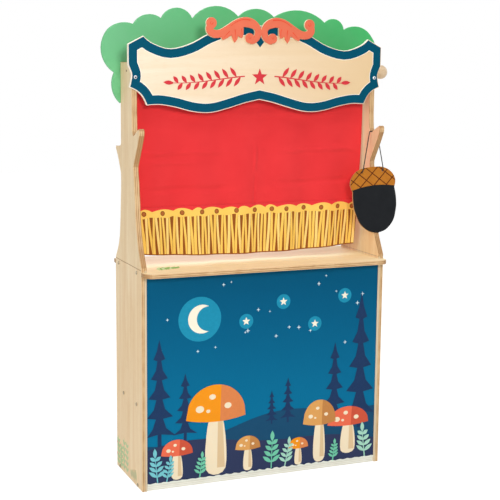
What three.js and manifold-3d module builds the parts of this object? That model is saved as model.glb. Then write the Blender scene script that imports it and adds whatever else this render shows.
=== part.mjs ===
// Puppet theatre stand for a playroom: a cabinet with a counter, two posts cut as tree trunks, a sign,
// a leafy canopy, a curtain on a roller and an acorn board that hangs from a branch by a cord.
// Millimetres. X runs to the right, Y to the back and Z up. The origin is on the floor, under the
// middle of the cabinet.

import * as THREE from "three";
import { mergeVertices } from "three/addons/utils/BufferGeometryUtils.js";
import Module from "manifold-3d";

const wasm = await Module();
wasm.setup();

// Common sizes
const plyThickness = 15;
const edgeRound = 1;
const seatGap = 0.3;
const cutOverrun = 2;

// Cabinet
const cabinetWidth = 725;
const cabinetDepth = 240;
const cabinetHeight = 611;
const counterThickness = 12;
const counterDrop = 5;
const counterFrontOverhang = 36;
const counterBackOverhang = 15;
const counterCornerRadius = 25;
const frontPanelThickness = 6;
const frontPanelSetback = 3;
const grooveDepth = 5;
const shelfHeight = 235;
const shelfDepth = 196;

// Posts
const postHeight = 545;
const crotchShares = [0.275, 0.648];
const postFrontShare = 0.325;
const postBackShare = 0.75;
const dowelRadius = 4;
const dowelLength = 50;
const dowelInset = 50;

// Sign and its ornament
const signOverhang = 12.5;
const signHeight = 235;
const signDrop = 134;
const signThickness = 10;
const scrollWidth = 330;
const scrollHeight = 76;
const scrollRise = 184;
const scrollThickness = 9;

// Canopy
const canopyOverhang = 57;
const canopyHeight = 266;
const canopyDrop = 111;
const canopyThickness = 9;

// Curtain and roller
const rollerDrop = 23;
const rollerSetback = 47;
const rodRadius = 8;
const rodClearance = 0.4;
const rodEndGap = 0.5;
const rollRadius = 13;
const curtainSideGap = 5;
const clothThickness = 2;
const bandRise = 154;
const hemGap = 15;
const hemRise = 12;
const foldDepth = 5;
const knobRadius = 20;
const knobFlat = 17;
const knobStandoff = 26;
const knobBore = 24;

// Bolts, inserts and screws
const boltRadius = 2.5;
const boltClearance = 0.4;
const boltHeadRadius = 5;
const boltHeadHeight = 2.4;
const boltHeadRound = 1.2;
const boltLength = 38;
const socketRadius = 1.9;
const socketDepth = 1.6;
const insertRadius = 4;
const insertLength = 13;
const boltFrontInset = 39;
const boltBackInset = 32;
const shelfBoltInset = 37;
const screwRadius = 2;
const screwHeadRadius = 5;
const screwHeadHeight = 2;
const screwGrip = 25;
const pivotSocketRadius = 1.2;
const pivotSocketDepth = 1.5;
const signScrewInset = 39;
const canopyScrewInset = 21;
const canopyScrewSpacing = 55;

// Acorn board and its cord
const acornWidth = 146;
const acornHeight = 190;
const acornThickness = 6;
const acornDrop = 101;
const acornOffset = -12.5;
const acornRoll = THREE.MathUtils.degToRad(4.5);
const acornTopClearance = 13;
const cordHoleRadius = 2.5;
const cordHoleSpacing = 68;
const cordHoleDrop = 13.5;
const cordDiameter = 2.5;
const knotRadius = 3.2;
const knotSquashShare = 0.5;

// Counts and finishes
const curveSteps = 3;
const lobeSteps = 5;
const holeSides = 8;
const turnedSides = 12;
const boltSides = 10;
const knobSides = 20;
const clothColumns = 32;
const clothRows = 8;
const bandRows = 4;
const foldCount = 5;
const leanPasses = 4;
const scrollSteps = 40;
const eyeSides = 16;
const cordSteps = 80;
const cordSides = 8;

const finish = {
  birch: { color: 0xe6c79c, roughness: 0.55 },
  paleEdge: { color: 0xe6e3d6, roughness: 0.6 },
  beech: { color: 0xe3c195, roughness: 0.5 },
  nightPanel: { color: 0x0b5578, roughness: 0.5 },
  signFace: { color: 0xf0dcb8, roughness: 0.5 },
  coral: { color: 0xf4795b, roughness: 0.5 },
  leafGreen: { color: 0x5fc078, roughness: 0.55 },
  redCloth: { color: 0xe23436, roughness: 0.9 },
  goldCloth: { color: 0xf0c255, roughness: 0.9 },
  steel: { color: 0xc8cacc, roughness: 0.3, metalness: 1 },
  brass: { color: 0xc9a55a, roughness: 0.35, metalness: 1 },
  chalkboard: { color: 0x26282a, roughness: 0.85 },
  blackCord: { color: 0x1c1a19, roughness: 0.9 },
};

// Places that follow from the sizes
const halfWidth = cabinetWidth / 2;
const halfDepth = cabinetDepth / 2;
const innerHalfWidth = halfWidth - plyThickness;
const postCentre = halfWidth - plyThickness / 2;
const postFront = cabinetDepth * postFrontShare - halfDepth;
const postBack = cabinetDepth * postBackShare - halfDepth;
const panelFront = frontPanelSetback - halfDepth;
const panelBack = panelFront + frontPanelThickness;
const counterTop = cabinetHeight - counterDrop;
const counterLevel = counterTop - counterThickness / 2;
const counterUnderside = counterTop - counterThickness;
const postTop = cabinetHeight + postHeight;
const signWidth = cabinetWidth + 2 * signOverhang;
const signBottom = postTop - signDrop;
const signScrewHeight = postTop - signScrewInset;
const scrollBottom = signBottom + scrollRise;
const canopyWidth = cabinetWidth + 2 * canopyOverhang;
const canopyBottom = postTop - canopyDrop;
const rollerY = postFront + rollerSetback;
const rollerHeight = postTop - rollerDrop;
const bandTop = cabinetHeight + bandRise;
const hemHeight = cabinetHeight + hemGap;
const clothY = rollerY - rollRadius - seatGap - clothThickness / 2;
const clothWidth = 2 * (innerHalfWidth - curtainSideGap);
const canopyScrewTop = postTop - canopyScrewInset;
const canopyScrewHeights = [canopyScrewTop, canopyScrewTop - canopyScrewSpacing];
const knotDepth = acornThickness / 2 + seatGap + knotRadius * knotSquashShare;
const sides = [["left", -1], ["right", 1]];
const depthNames = ["front", "back"];
const heightNames = ["upper", "lower"];

// Turns that stand a flat shape up: seen from the side (Y, Z) or from the front (X, Z)
const sideOn = new THREE.Quaternion().setFromRotationMatrix(new THREE.Matrix4().makeBasis(
  new THREE.Vector3(0, 1, 0), new THREE.Vector3(0, 0, 1), new THREE.Vector3(1, 0, 0)));
const faceOn = new THREE.Quaternion().setFromEuler(new THREE.Euler(Math.PI / 2, 0, 0));

const theatre = new THREE.Group();

// Adds one named piece to a group, at a place and a turn
function addPiece(name, geometry, look, position = [0, 0, 0], turn = null, parent = theatre) {
  const mesh = new THREE.Mesh(geometry, new THREE.MeshStandardMaterial(look));
  mesh.name = name;
  mesh.position.set(...position);
  if (turn) mesh.quaternion.copy(turn);
  parent.add(mesh);
  return mesh;
}

// Solids for joins and cuts
function bare(geometry) {
  const copy = geometry.clone();
  copy.deleteAttribute("normal");
  copy.deleteAttribute("uv");
  return mergeVertices(copy);
}

function toSolid(geometry) {
  const merged = bare(geometry);
  return new wasm.Manifold(new wasm.Mesh({
    numProp: 3,
    vertProperties: Float32Array.from(merged.attributes.position.array),
    triVerts: Uint32Array.from(merged.index.array),
  }));
}

function toGeometry(solid) {
  const mesh = solid.getMesh();
  const geometry = new THREE.BufferGeometry();
  geometry.setAttribute("position", new THREE.BufferAttribute(mesh.vertProperties, mesh.numProp));
  geometry.setIndex(new THREE.BufferAttribute(mesh.triVerts, 1));
  geometry.computeVertexNormals();
  return geometry;
}

function cutAway(geometry, tools) {
  return toGeometry(tools.reduce((solid, tool) => solid.subtract(toSolid(tool)), toSolid(geometry)));
}

function joined(geometries) {
  return toGeometry(geometries.map(toSolid).reduce((sum, solid) => sum.add(solid)));
}

// A board cut to a shape, with its arrises taken off, centred on its own mid-plane
function plate(shape, thickness, steps = curveSteps) {
  const geometry = new THREE.ExtrudeGeometry(shape, {
    depth: thickness - 2 * edgeRound,
    bevelThickness: edgeRound,
    bevelSize: edgeRound,
    bevelOffset: -edgeRound,
    bevelSegments: 1,
    curveSegments: steps,
  });
  return geometry.translate(0, 0, edgeRound - thickness / 2);
}

// A piece turned on a lathe, its axis along Z; the profile is pairs of radius and height
function turned(profile, sides = turnedSides) {
  const points = profile.map(([radius, height]) => new THREE.Vector2(radius, height));
  return bare(new THREE.LatheGeometry(points, sides)).rotateX(Math.PI / 2);
}

function peg(radius, from, to, sides = turnedSides) {
  return turned([[0, from], [radius, from], [radius, to], [0, to]], sides);
}

const alongX = (geometry, direction = 1) => geometry.rotateY(direction * Math.PI / 2);
const alongY = (geometry, direction = 1) => geometry.rotateX(-direction * Math.PI / 2);

function roundHole(x, y, radius, sides = holeSides) {
  const hole = new THREE.Path();
  for (let k = 0; k <= sides; k++) {
    const angle = (2 * Math.PI * k) / sides;
    const point = [x + radius * Math.cos(angle), y + radius * Math.sin(angle)];
    if (k) hole.lineTo(...point);
    else hole.moveTo(...point);
  }
  return hole;
}

function rectangle(left, bottom, right, top, radius = 0) {
  const shape = new THREE.Shape();
  shape.moveTo(left, top);
  shape.lineTo(left, bottom + radius);
  if (radius) shape.absarc(left + radius, bottom + radius, radius, Math.PI, 1.5 * Math.PI);
  shape.lineTo(right - radius, bottom);
  if (radius) shape.absarc(right - radius, bottom + radius, radius, 1.5 * Math.PI, 2 * Math.PI);
  shape.lineTo(right, top);
  shape.closePath();
  return shape;
}

// An outline in runs of points given as shares: a run of one point is a straight edge, a longer one a
// smooth curve
function outline(startShares, runs, place) {
  const shape = new THREE.Shape();
  shape.moveTo(...place(startShares));
  for (const run of runs) {
    if (run.length > 1) shape.splineThru(run.map((shares) => new THREE.Vector2(...place(shares))));
    else shape.lineTo(...place(run[0]));
  }
  return shape;
}

// The same outline on the left of the middle line as on its right, drawn back from the end
function mirroredRuns(startShares, runs) {
  const ends = [startShares, ...runs.map((run) => run.at(-1))];
  const back = runs.map((run, k) => [...run.slice(0, -1).reverse(), ends[k]]).reverse();
  return [...runs, ...back.map((run) => run.map(([x, z]) => [-x, z]))];
}

// An arc from the shape's last point that rises to the left of its chord, by a share of half the chord
function arcTo(shape, x, y, riseShare) {
  const start = shape.currentPoint.clone();
  const end = new THREE.Vector2(x, y);
  const half = start.distanceTo(end) / 2;
  const toCentre = (half * (riseShare * riseShare - 1)) / (2 * riseShare);
  const normal = new THREE.Vector2(start.y - y, x - start.x).normalize();
  const centre = start.clone().add(end).multiplyScalar(0.5).addScaledVector(normal, toCentre);
  const from = start.sub(centre).angle();
  const to = end.sub(centre).angle();
  shape.absarc(centre.x, centre.y, end.length(), from, to, riseShare > 0);
}

// The two bolts of each board that the side panels carry: where they stand along Y and Z
const boltRows = {
  counter: { z: counterLevel, ys: [boltFrontInset - halfDepth, halfDepth - boltBackInset] },
  shelf: { z: shelfHeight, ys: [panelBack + shelfBoltInset, panelBack + shelfDepth - shelfBoltInset] },
  bottom: { z: plyThickness / 2, ys: [boltFrontInset - halfDepth, halfDepth - boltBackInset] },
};

function boltPlaces() {
  return Object.values(boltRows).flatMap((row) => row.ys.map((y) => [y, row.z]));
}

// Side panels: drilled for the bolts and dowels, and grooved inside for the front panel
function sidePanel(side) {
  const shape = rectangle(-halfDepth, 0, halfDepth, cabinetHeight);
  for (const [y, z] of boltPlaces()) shape.holes.push(roundHole(y, z, boltRadius + boltClearance));
  const grooveWidth = frontPanelThickness + 2 * seatGap;
  const grooveLength = counterUnderside - plyThickness;
  const groove = new THREE.BoxGeometry(grooveWidth, grooveLength, 2 * grooveDepth)
    .translate(panelFront + frontPanelThickness / 2, plyThickness + grooveLength / 2,
      -side * plyThickness / 2);
  const depth = (dowelLength + seatGap) / 2;
  const drills = dowelPlaces().map((y) =>
    alongY(peg(dowelRadius + seatGap, -depth, cutOverrun)).translate(y, cabinetHeight, 0));
  return cutAway(plate(shape, plyThickness), [groove, ...drills]);
}

function dowelPlaces() {
  return [dowelInset - halfDepth, halfDepth - dowelInset];
}

// Boards between the side panels: each end is drilled for the inserts and for the bolts beyond them
function boardEndDrills(row) {
  const drills = [];
  for (const side of [-1, 1]) {
    for (const y of row.ys) {
      const insertHole = peg(insertRadius + seatGap, -insertLength - seatGap, cutOverrun);
      const boltHole = peg(boltRadius + boltClearance, -boltLength, cutOverrun);
      for (const drill of [insertHole, boltHole]) {
        drills.push(alongX(drill, side).translate(side * innerHalfWidth, y, 0));
      }
    }
  }
  return drills;
}

// The counter runs through between the side panels and overhangs them in front and behind, as wide as
// they stand
function counterBoard() {
  const shape = rectangle(-halfWidth, -halfDepth - counterFrontOverhang, halfWidth,
    halfDepth + counterBackOverhang, counterCornerRadius);
  const notchDepth = cabinetDepth + 2 * seatGap;
  const notchReach = plyThickness + seatGap;
  const tools = [-1, 1].map((side) =>
    new THREE.BoxGeometry(2 * notchReach, notchDepth, 2 * counterThickness).translate(side * halfWidth, 0, 0));
  return cutAway(plate(shape, counterThickness), [...tools, ...boardEndDrills(boltRows.counter)]);
}

function innerBoard(front, back, row) {
  const reach = innerHalfWidth - seatGap;
  return cutAway(plate(rectangle(-reach, front, reach, back), plyThickness), boardEndDrills(row));
}

function frontPanel() {
  const reach = innerHalfWidth + grooveDepth - seatGap;
  const bottom = plyThickness + seatGap;
  return plate(rectangle(-reach, bottom, reach, counterUnderside - seatGap), frontPanelThickness);
}

// Posts: tree trunks with a flared foot, a hooked branch in front and a cut-off branch behind.
// Shares of the cabinet's depth from its front edge, and of the post's height from the seam.
const trunkRunsShares = [
  [[1, 0]],
  [[0.963, 0.024], [0.9, 0.059], [0.833, 0.116], [0.796, 0.206], [0.775, 0.308], [0.757, 0.428],
    [0.792, 0.47], [0.871, 0.523], [0.95, 0.563]],
  [[0.956, 0.571], [0.95, 0.579]],
  [[0.79, 0.585], [postBackShare, 0.6]],
  [[postBackShare, 1]],
  [[postFrontShare, 1]],
  [[postFrontShare, 0.75]],
  [[0.312, 0.672], crotchShares, [0.236, 0.652], [0.15, 0.671], [0.075, 0.684]],
  [[0.056, 0.672], [0.06, 0.651]],
  [[0.117, 0.607], [0.192, 0.556], [0.276, 0.497], [0.27, 0.46], [0.252, 0.42], [0.226, 0.336],
    [0.2, 0.24], [0.158, 0.163], [0.117, 0.108], [0.071, 0.07], [0.029, 0.037], [0, 0.013]],
];

function trunkShape() {
  return outline([0, 0], trunkRunsShares,
    ([depth, height]) => [depth * cabinetDepth - halfDepth, cabinetHeight + height * postHeight]);
}

// How far forward the trunk's front edge stands at a height, read off its outline
function trunkFrontAt(height) {
  const points = trunkShape().getPoints(curveSteps);
  let front = halfDepth;
  points.forEach((point, k) => {
    const next = points[(k + 1) % points.length];
    if ((point.y - height) * (next.y - height) > 0 || point.y === next.y) return;
    const share = (height - point.y) / (next.y - point.y);
    front = Math.min(front, point.x + share * (next.x - point.x));
  });
  return front;
}

function treePost(rollerHoleRadius) {
  const shape = trunkShape();
  shape.holes.push(roundHole(rollerY, rollerHeight, rollerHoleRadius, 2 * turnedSides));
  const dowelDepth = (dowelLength + seatGap) / 2;
  const screwHole = screwRadius + seatGap;
  const drills = dowelPlaces().map((y) =>
    alongY(peg(dowelRadius + seatGap, -cutOverrun, dowelDepth)).translate(y, cabinetHeight, 0));
  drills.push(alongX(peg(screwHole, -cutOverrun, screwGrip + seatGap))
    .translate(postFront, signScrewHeight, 0));
  for (const z of canopyScrewHeights) {
    drills.push(alongX(peg(screwHole, -screwGrip - seatGap, cutOverrun)).translate(postBack, z, 0));
  }
  return cutAway(plate(shape, plyThickness), drills);
}

// Sign: a bracket-shaped board, the same on both sides of its middle. Shares of half its width and of
// its height.
const signStartShares = [0, 0.149];
const signRunsShares = [
  [[0.113, 0.111], [0.231, 0.056], [0.348, 0.009], [0.441, 0], [0.54, 0.021], [0.655, 0.068],
    [0.767, 0.096], [0.863, 0.09]],
  [[0.892, 0.183], [0.935, 0.251], [0.991, 0.293]],
  [[0.981, 0.358], [0.975, 0.439], [1, 0.545]],
  [[1, 0.77]],
  [[0.887, 0.863]],
  [[0.824, 0.787], [0.692, 0.726], [0.54, 0.782], [0.403, 0.893], [0.267, 0.967], [0.133, 0.995], [0, 1]],
];

function signBoard() {
  const place = ([across, up]) => [(across * signWidth) / 2, signBottom + up * signHeight];
  const shape = outline(signStartShares, mirroredRuns(signStartShares, signRunsShares), place);
  for (const side of [-1, 1]) {
    shape.holes.push(roundHole(side * postCentre, signScrewHeight, screwRadius + seatGap));
  }
  return plate(shape, signThickness);
}

// Scroll ornament: a mirrored pair of leafy scrolls. Each is a band that runs from its outer eye over a
// crest to its inner eye, with its width changing on the way. Shares of half the ornament's width and of
// its height; the third share is half the band's width, of the height.
const bandShares = [
  [0.907, 0.66, 0.1], [0.915, 0.57, 0.125], [0.902, 0.46, 0.138], [0.855, 0.375, 0.142],
  [0.778, 0.347, 0.14], [0.68, 0.4, 0.145], [0.56, 0.54, 0.155], [0.42, 0.71, 0.17],
  [0.289, 0.784, 0.176], [0.182, 0.745, 0.168], [0.101, 0.652, 0.14], [0.057, 0.5, 0.126],
  [0.058, 0.36, 0.128], [0.09, 0.22, 0.12], [0.145, 0.14, 0.122], [0.2, 0.13, 0.12],
];

// The round eyes that the band ends in: centre, then radius as a share of the height
const eyeShares = [[0.878, 0.726, 0.2], [0.205, 0.215, 0.18]];

// The three leaf tips that hang from each band, as one outline with a notch between each two
const leafStartShares = [0.6, 0.45];
const leafRunsShares = [
  [[0.69, 0.3], [0.702, 0.2], [0.677, 0.136]],
  [[0.605, 0.21], [0.531, 0.304]],
  [[0.508, 0.16], [0.472, 0.05]],
  [[0.425, 0.18], [0.413, 0.289]],
  [[0.382, 0.24], [0.347, 0.212]],
  [[0.32, 0.33], [0.313, 0.581]],
  [[0.42, 0.71]],
];

const scrollPlace = (across, up) =>
  new THREE.Vector2((across * scrollWidth) / 2, scrollBottom + up * scrollHeight);

function scrollBand() {
  const centre = new THREE.SplineCurve(bandShares.map(([across, up]) => scrollPlace(across, up)));
  const widths = new THREE.SplineCurve(
    bandShares.map(([, , half], k) => new THREE.Vector2(k, half * scrollHeight)));
  const left = [];
  const right = [];
  for (let k = 0; k <= scrollSteps; k++) {
    const point = centre.getPoint(k / scrollSteps);
    const tangent = centre.getTangent(k / scrollSteps);
    const reach = new THREE.Vector2(-tangent.y, tangent.x);
    reach.multiplyScalar(widths.getPoint(k / scrollSteps).y);
    left.push(point.clone().add(reach));
    right.unshift(point.clone().sub(reach));
  }
  return new THREE.Shape([...left, ...right]);
}

function leafTips() {
  return outline(leafStartShares, leafRunsShares, ([across, up]) => scrollPlace(across, up).toArray());
}

function scrollEye([across, up, radiusShare]) {
  const centre = scrollPlace(across, up);
  return new THREE.Shape(roundHole(centre.x, centre.y, radiusShare * scrollHeight, eyeSides).getPoints());
}

function scrollOrnament() {
  const shapes = [scrollBand(), ...eyeShares.map(scrollEye), leafTips()];
  const half = shapes.map((shape) => plate(shape, scrollThickness));
  const other = half.map((geometry) => geometry.clone().rotateY(Math.PI));
  return joined([...half, ...other]);
}

// Canopy: lobes of foliage, each an arc from one notch to the next. Shares of half its width and of its
// height, then how far the lobe that ends there stands out.
const lobeShares = [
  [-0.905, 0.31, 0.33], [-0.945, 0.744, 0.46], [-0.775, 0.8, 0.29], [-0.585, 0.863, 0.45],
  [-0.369, 0.866, 0.65], [-0.043, 0.897, 0.47], [0.216, 0.9, 0.42], [0.598, 0.851, 0.34],
  [0.744, 0.78, 0.66], [0.963, 0.71, 0.42], [0.907, 0.31, 0.5], [0.867, 0, 0.33],
];
const archShares = [0.81, 0.064, -0.13];

function canopyBoard() {
  const place = (across, up) => [(across * canopyWidth) / 2, canopyBottom + up * canopyHeight];
  const [endAcross, endUp] = lobeShares.at(-1);
  const [archAcross, archUp, archRise] = archShares;
  const shape = new THREE.Shape();
  shape.moveTo(...place(-endAcross, endUp));
  for (const [across, up, rise] of lobeShares) arcTo(shape, ...place(across, up), rise);
  shape.lineTo(...place(archAcross, archUp));
  arcTo(shape, ...place(-archAcross, archUp), archRise);
  for (const side of [-1, 1]) {
    for (const z of canopyScrewHeights) {
      shape.holes.push(roundHole(side * postCentre, z, screwRadius + seatGap));
    }
  }
  return plate(shape, canopyThickness, lobeSteps);
}

// Roller: a rod that runs in both posts, with a ball knob outside the right one
function rollerRod() {
  const left = -innerHalfWidth + rodEndGap;
  const right = halfWidth + knobStandoff + knobBore - seatGap;
  const pilot = alongX(peg(screwRadius + seatGap, -cutOverrun, screwGrip)).translate(left, 0, 0);
  return cutAway(alongX(peg(rodRadius, left, right, 2 * turnedSides)), [pilot]);
}

function rollerKnob() {
  const boreRadius = rodRadius + seatGap;
  const profile = [[0, knobBore - knobFlat], [boreRadius, knobBore - knobFlat], [boreRadius, -knobFlat]];
  const startAngle = Math.acos(knobFlat / knobRadius);
  for (let k = 0; k <= knobSides / 2; k++) {
    const angle = startAngle + ((Math.PI - startAngle) * k) / (knobSides / 2);
    profile.push([k === knobSides / 2 ? 0 : knobRadius * Math.sin(angle), -knobRadius * Math.cos(angle)]);
  }
  return alongX(turned(profile, knobSides));
}

// The turns of cloth on the rod, as one sleeve
function clothRoll() {
  const reach = clothWidth / 2;
  const inner = rodRadius + seatGap;
  const profile = [[inner, -reach], [rollRadius, -reach], [rollRadius, reach], [inner, reach]];
  profile.push(profile[0]);
  return alongX(turned(profile, 2 * turnedSides));
}

// Hanging cloth: a sheet whose folds deepen from the roller down to a hem that sags in the middle
function hangingCloth(bottom, top, rows) {
  const sheet = bare(new THREE.BoxGeometry(clothWidth, clothThickness, 1, clothColumns, 1, rows));
  const place = sheet.attributes.position;
  const sag = (share) => hemHeight + hemRise * share * share;
  for (let k = 0; k < place.count; k++) {
    const across = (2 * place.getX(k)) / clothWidth;
    const up = place.getZ(k) + 0.5;
    const low = bottom ?? sag(across);
    const z = low + up * (top - low);
    const drop = (rollerHeight - z) / (rollerHeight - hemHeight);
    const fold = foldDepth * drop * Math.sin(Math.PI * foldCount * across);
    place.setXYZ(k, place.getX(k), place.getY(k) + fold, z);
  }
  sheet.computeVertexNormals();
  return sheet;
}

// Fasteners: heads stand on the face at height 0 and shanks run down from it
function bolt() {
  return turned([
    [0, -boltLength], [boltRadius, -boltLength], [boltRadius, 0], [boltHeadRadius, 0],
    [boltHeadRadius, boltHeadHeight - boltHeadRound], [boltHeadRadius - boltHeadRound, boltHeadHeight],
    [socketRadius, boltHeadHeight], [socketRadius, boltHeadHeight - socketDepth],
    [0, boltHeadHeight - socketDepth],
  ], boltSides);
}

function insert() {
  const bore = boltRadius + boltClearance;
  return turned([[bore, 0], [bore, -insertLength], [insertRadius, -insertLength], [insertRadius, 0],
    [bore, 0]], boltSides);
}

function screw(length) {
  return turned([
    [0, -length], [screwRadius, -length + screwRadius], [screwRadius, 0], [screwHeadRadius, 0],
    [screwHeadRadius - screwHeadHeight / 4, screwHeadHeight / 2], [screwHeadRadius / 2, screwHeadHeight],
    [0, screwHeadHeight],
  ]);
}

// The roller's pivot has no head: it is driven flush and turns in the post
function pivotScrew(length) {
  return turned([
    [0, -length], [screwRadius, -length + screwRadius], [screwRadius, 0], [pivotSocketRadius, 0],
    [pivotSocketRadius, -pivotSocketDepth], [0, -pivotSocketDepth],
  ]);
}

// Every fastener is a piece of its own, named for where it sits
function addBolts() {
  for (const [rowName, row] of Object.entries(boltRows)) {
    for (const [sideName, side] of sides) {
      row.ys.forEach((y, k) => {
        const seat = `${sideName}_${rowName}_${depthNames[k]}`;
        const head = [side * halfWidth, y, row.z];
        const mouth = [side * (innerHalfWidth - seatGap), y, row.z];
        addPiece(`${seat}_bolt`, alongX(bolt(), side), finish.steel, head);
        addPiece(`${seat}_insert`, alongX(insert(), side), finish.brass, mouth);
      });
    }
  }
}

function addDowels() {
  for (const [sideName, side] of sides) {
    dowelPlaces().forEach((y, k) => addPiece(`${sideName}_${depthNames[k]}_dowel`,
      peg(dowelRadius, -dowelLength / 2, dowelLength / 2), finish.beech,
      [side * postCentre, y, cabinetHeight]));
  }
}

function addScrews(signFace, canopyFace) {
  for (const [sideName, side] of sides) {
    const x = side * postCentre;
    addPiece(`${sideName}_sign_screw`, alongY(screw(signThickness + screwGrip), -1), finish.steel,
      [x, signFace, signScrewHeight]);
    canopyScrewHeights.forEach((z, k) => addPiece(`${sideName}_canopy_${heightNames[k]}_screw`,
      alongY(screw(canopyThickness + screwGrip)), finish.steel, [x, canopyFace, z]));
  }
}

// Acorn board: drawn from the top of its cap to its tip. Shares of half its width and of its height.
const acornRunsShares = [
  [[0.2, -0.004], [0.42, -0.012], [0.63, -0.04], [0.79, -0.08], [0.925, -0.14], [0.995, -0.21],
    [0.99, -0.27], [0.925, -0.34]],
  [[0.955, -0.46], [0.94, -0.6], [0.87, -0.71], [0.76, -0.82], [0.565, -0.91], [0.31, -0.975], [0, -1]],
];

function acornBoard() {
  const start = [0, 0];
  const shape = outline(start, mirroredRuns(start, acornRunsShares),
    ([across, up]) => [(across * acornWidth) / 2, up * acornHeight]);
  for (const side of [-1, 1]) {
    shape.holes.push(roundHole((side * cordHoleSpacing) / 2, -cordHoleDrop, cordHoleRadius));
  }
  return plate(shape, acornThickness);
}

// The board leans back against the trunk: its top clears the trunk and its tip rests on the flared foot
function acornLean(pivotHeight) {
  const top = pivotHeight - acornDrop;
  const topFront = trunkFrontAt(top) - acornTopClearance;
  let lean = 0;
  for (let pass = 0; pass < leanPasses; pass++) {
    const length = acornHeight * Math.cos(acornRoll);
    const tipFront = trunkFrontAt(top - length * Math.cos(lean)) - seatGap;
    lean = Math.asin((topFront - tipFront) / length);
  }
  return { lean, backAtTop: topFront };
}

// The cord's route from the back of the left hole over the crotch to the back of the right one, seen
// from the crotch
const cordRoute = [
  [-45.3, -15.61, -117.35], [-45.3, -18.39, -117.01], [-45.3, -21.38, -116.66], [-44.8, -24.72, -114.79],
  [-43.6, -25.76, -111.11], [-38.2, -22.1, -92], [-33.2, -18.06, -75], [-27.65, -13.55, -56],
  [-22.2, -9.15, -37.5], [-16.81, -4.76, -19], [-14.18, -2.62, -10], [-12.3, -1.1, -3.6],
  [-11.83, -0.7, -2.5], [-10, -0.25, -0.67], [-7.5, 0, 0], [-4, 0, 0], [0, 0, 0], [4, 0, 0], [7.5, 0, 0],
  [10, -0.3, -0.67], [11.83, -0.8, -2.5], [12.4, -1.3, -4.4], [12.92, -2.65, -10], [13.76, -4.8, -19],
  [15.5, -9.25, -37.5], [17.2, -13.7, -56], [19, -18.3, -75], [20.55, -22.3, -92],
  [21.8, -25.13, -105.81], [22.2, -24.09, -109.48], [22.45, -20.75, -111.37], [22.45, -17.77, -111.72],
  [22.45, -14.99, -112.04],
];

function cordTube() {
  const section = new THREE.Shape();
  section.absarc(0, 0, cordDiameter / 2, 0, 2 * Math.PI);
  return new THREE.ExtrudeGeometry(section, {
    steps: cordSteps,
    extrudePath: new THREE.CatmullRomCurve3(cordRoute.map((point) => new THREE.Vector3(...point))),
    curveSegments: cordSides / 2,
    bevelEnabled: false,
  });
}

function knot() {
  return bare(new THREE.SphereGeometry(knotRadius, turnedSides, turnedSides / 2))
    .scale(1, 1, knotSquashShare);
}

function addAcorn() {
  const [crotchDepth, crotchRise] = crotchShares;
  const pivotY = crotchDepth * cabinetDepth - halfDepth;
  const pivotZ = cabinetHeight + crotchRise * postHeight + seatGap + cordDiameter / 2;
  const { lean, backAtTop } = acornLean(pivotZ);
  const hanging = new THREE.Group();
  hanging.position.set(postCentre, pivotY, pivotZ);
  theatre.add(hanging);
  const board = new THREE.Group();
  board.position.set(acornOffset, backAtTop - pivotY - acornThickness / 2, -acornDrop);
  board.rotation.set(Math.PI / 2 - lean, 0, acornRoll);
  hanging.add(board);
  addPiece("acorn_board", acornBoard(), finish.chalkboard, [0, 0, 0], null, board);
  for (const [sideName, side] of sides) {
    addPiece(`${sideName}_cord_knot`, knot(), finish.blackCord,
      [(side * cordHoleSpacing) / 2, -cordHoleDrop, -knotDepth], null, board);
  }
  addPiece("acorn_cord", cordTube(), finish.blackCord, [0, 0, 0], null, hanging);
}

// Cabinet
addPiece("left_side_panel", sidePanel(-1), finish.birch, [-postCentre, 0, 0], sideOn);
addPiece("right_side_panel", sidePanel(1), finish.birch, [postCentre, 0, 0], sideOn);
addPiece("counter_board", counterBoard(), finish.birch, [0, 0, counterLevel]);
addPiece("shelf_board", innerBoard(panelBack + seatGap, panelBack + shelfDepth, boltRows.shelf),
  finish.birch, [0, 0, shelfHeight]);
addPiece("bottom_board", innerBoard(panelFront, halfDepth - seatGap, boltRows.bottom),
  finish.paleEdge, [0, 0, plyThickness / 2]);
addPiece("front_panel", frontPanel(), finish.nightPanel,
  [0, panelFront + frontPanelThickness / 2, 0], faceOn);
addBolts();

// Posts, sign and canopy
addPiece("left_tree_post", treePost(screwRadius + seatGap), finish.birch, [-postCentre, 0, 0], sideOn);
addPiece("right_tree_post", treePost(rodRadius + rodClearance), finish.birch, [postCentre, 0, 0], sideOn);
addDowels();
const signY = postFront - seatGap - signThickness / 2;
const signFace = signY - signThickness / 2;
addPiece("sign_board", signBoard(), finish.signFace, [0, signY, 0], faceOn);
addPiece("scroll_ornament", scrollOrnament(), finish.coral,
  [0, signFace - seatGap - scrollThickness / 2, 0], faceOn);
const canopyY = postBack + seatGap + canopyThickness / 2;
addPiece("canopy_board", canopyBoard(), finish.leafGreen, [0, canopyY, 0], faceOn);
addScrews(signFace, canopyY + canopyThickness / 2);

// Curtain
addPiece("roller_rod", rollerRod(), finish.beech, [0, rollerY, rollerHeight]);
addPiece("roller_knob", rollerKnob(), finish.beech,
  [halfWidth + knobStandoff + knobFlat, rollerY, rollerHeight]);
const pivotLength = plyThickness + rodEndGap + screwGrip / 2;
addPiece("roller_pivot_screw", alongX(pivotScrew(pivotLength), -1), finish.steel,
  [-halfWidth, rollerY, rollerHeight]);
addPiece("curtain_roll", clothRoll(), finish.redCloth, [0, rollerY, rollerHeight]);
addPiece("curtain_cloth", hangingCloth(bandTop + seatGap, rollerHeight, clothRows), finish.redCloth,
  [0, clothY, 0]);
addPiece("curtain_hem_band", hangingCloth(null, bandTop, bandRows), finish.goldCloth, [0, clothY, 0]);

addAcorn();

export default theatre;
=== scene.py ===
"""Puppet theatre stand: surfaces, cloth, prints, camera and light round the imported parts.

Metres, X to the right, Y to the back and Z up, with the origin on the floor under the cabinet's middle.
Sizes in the classes are in millimetres, as a maker would write them.
"""

from __future__ import annotations

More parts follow.
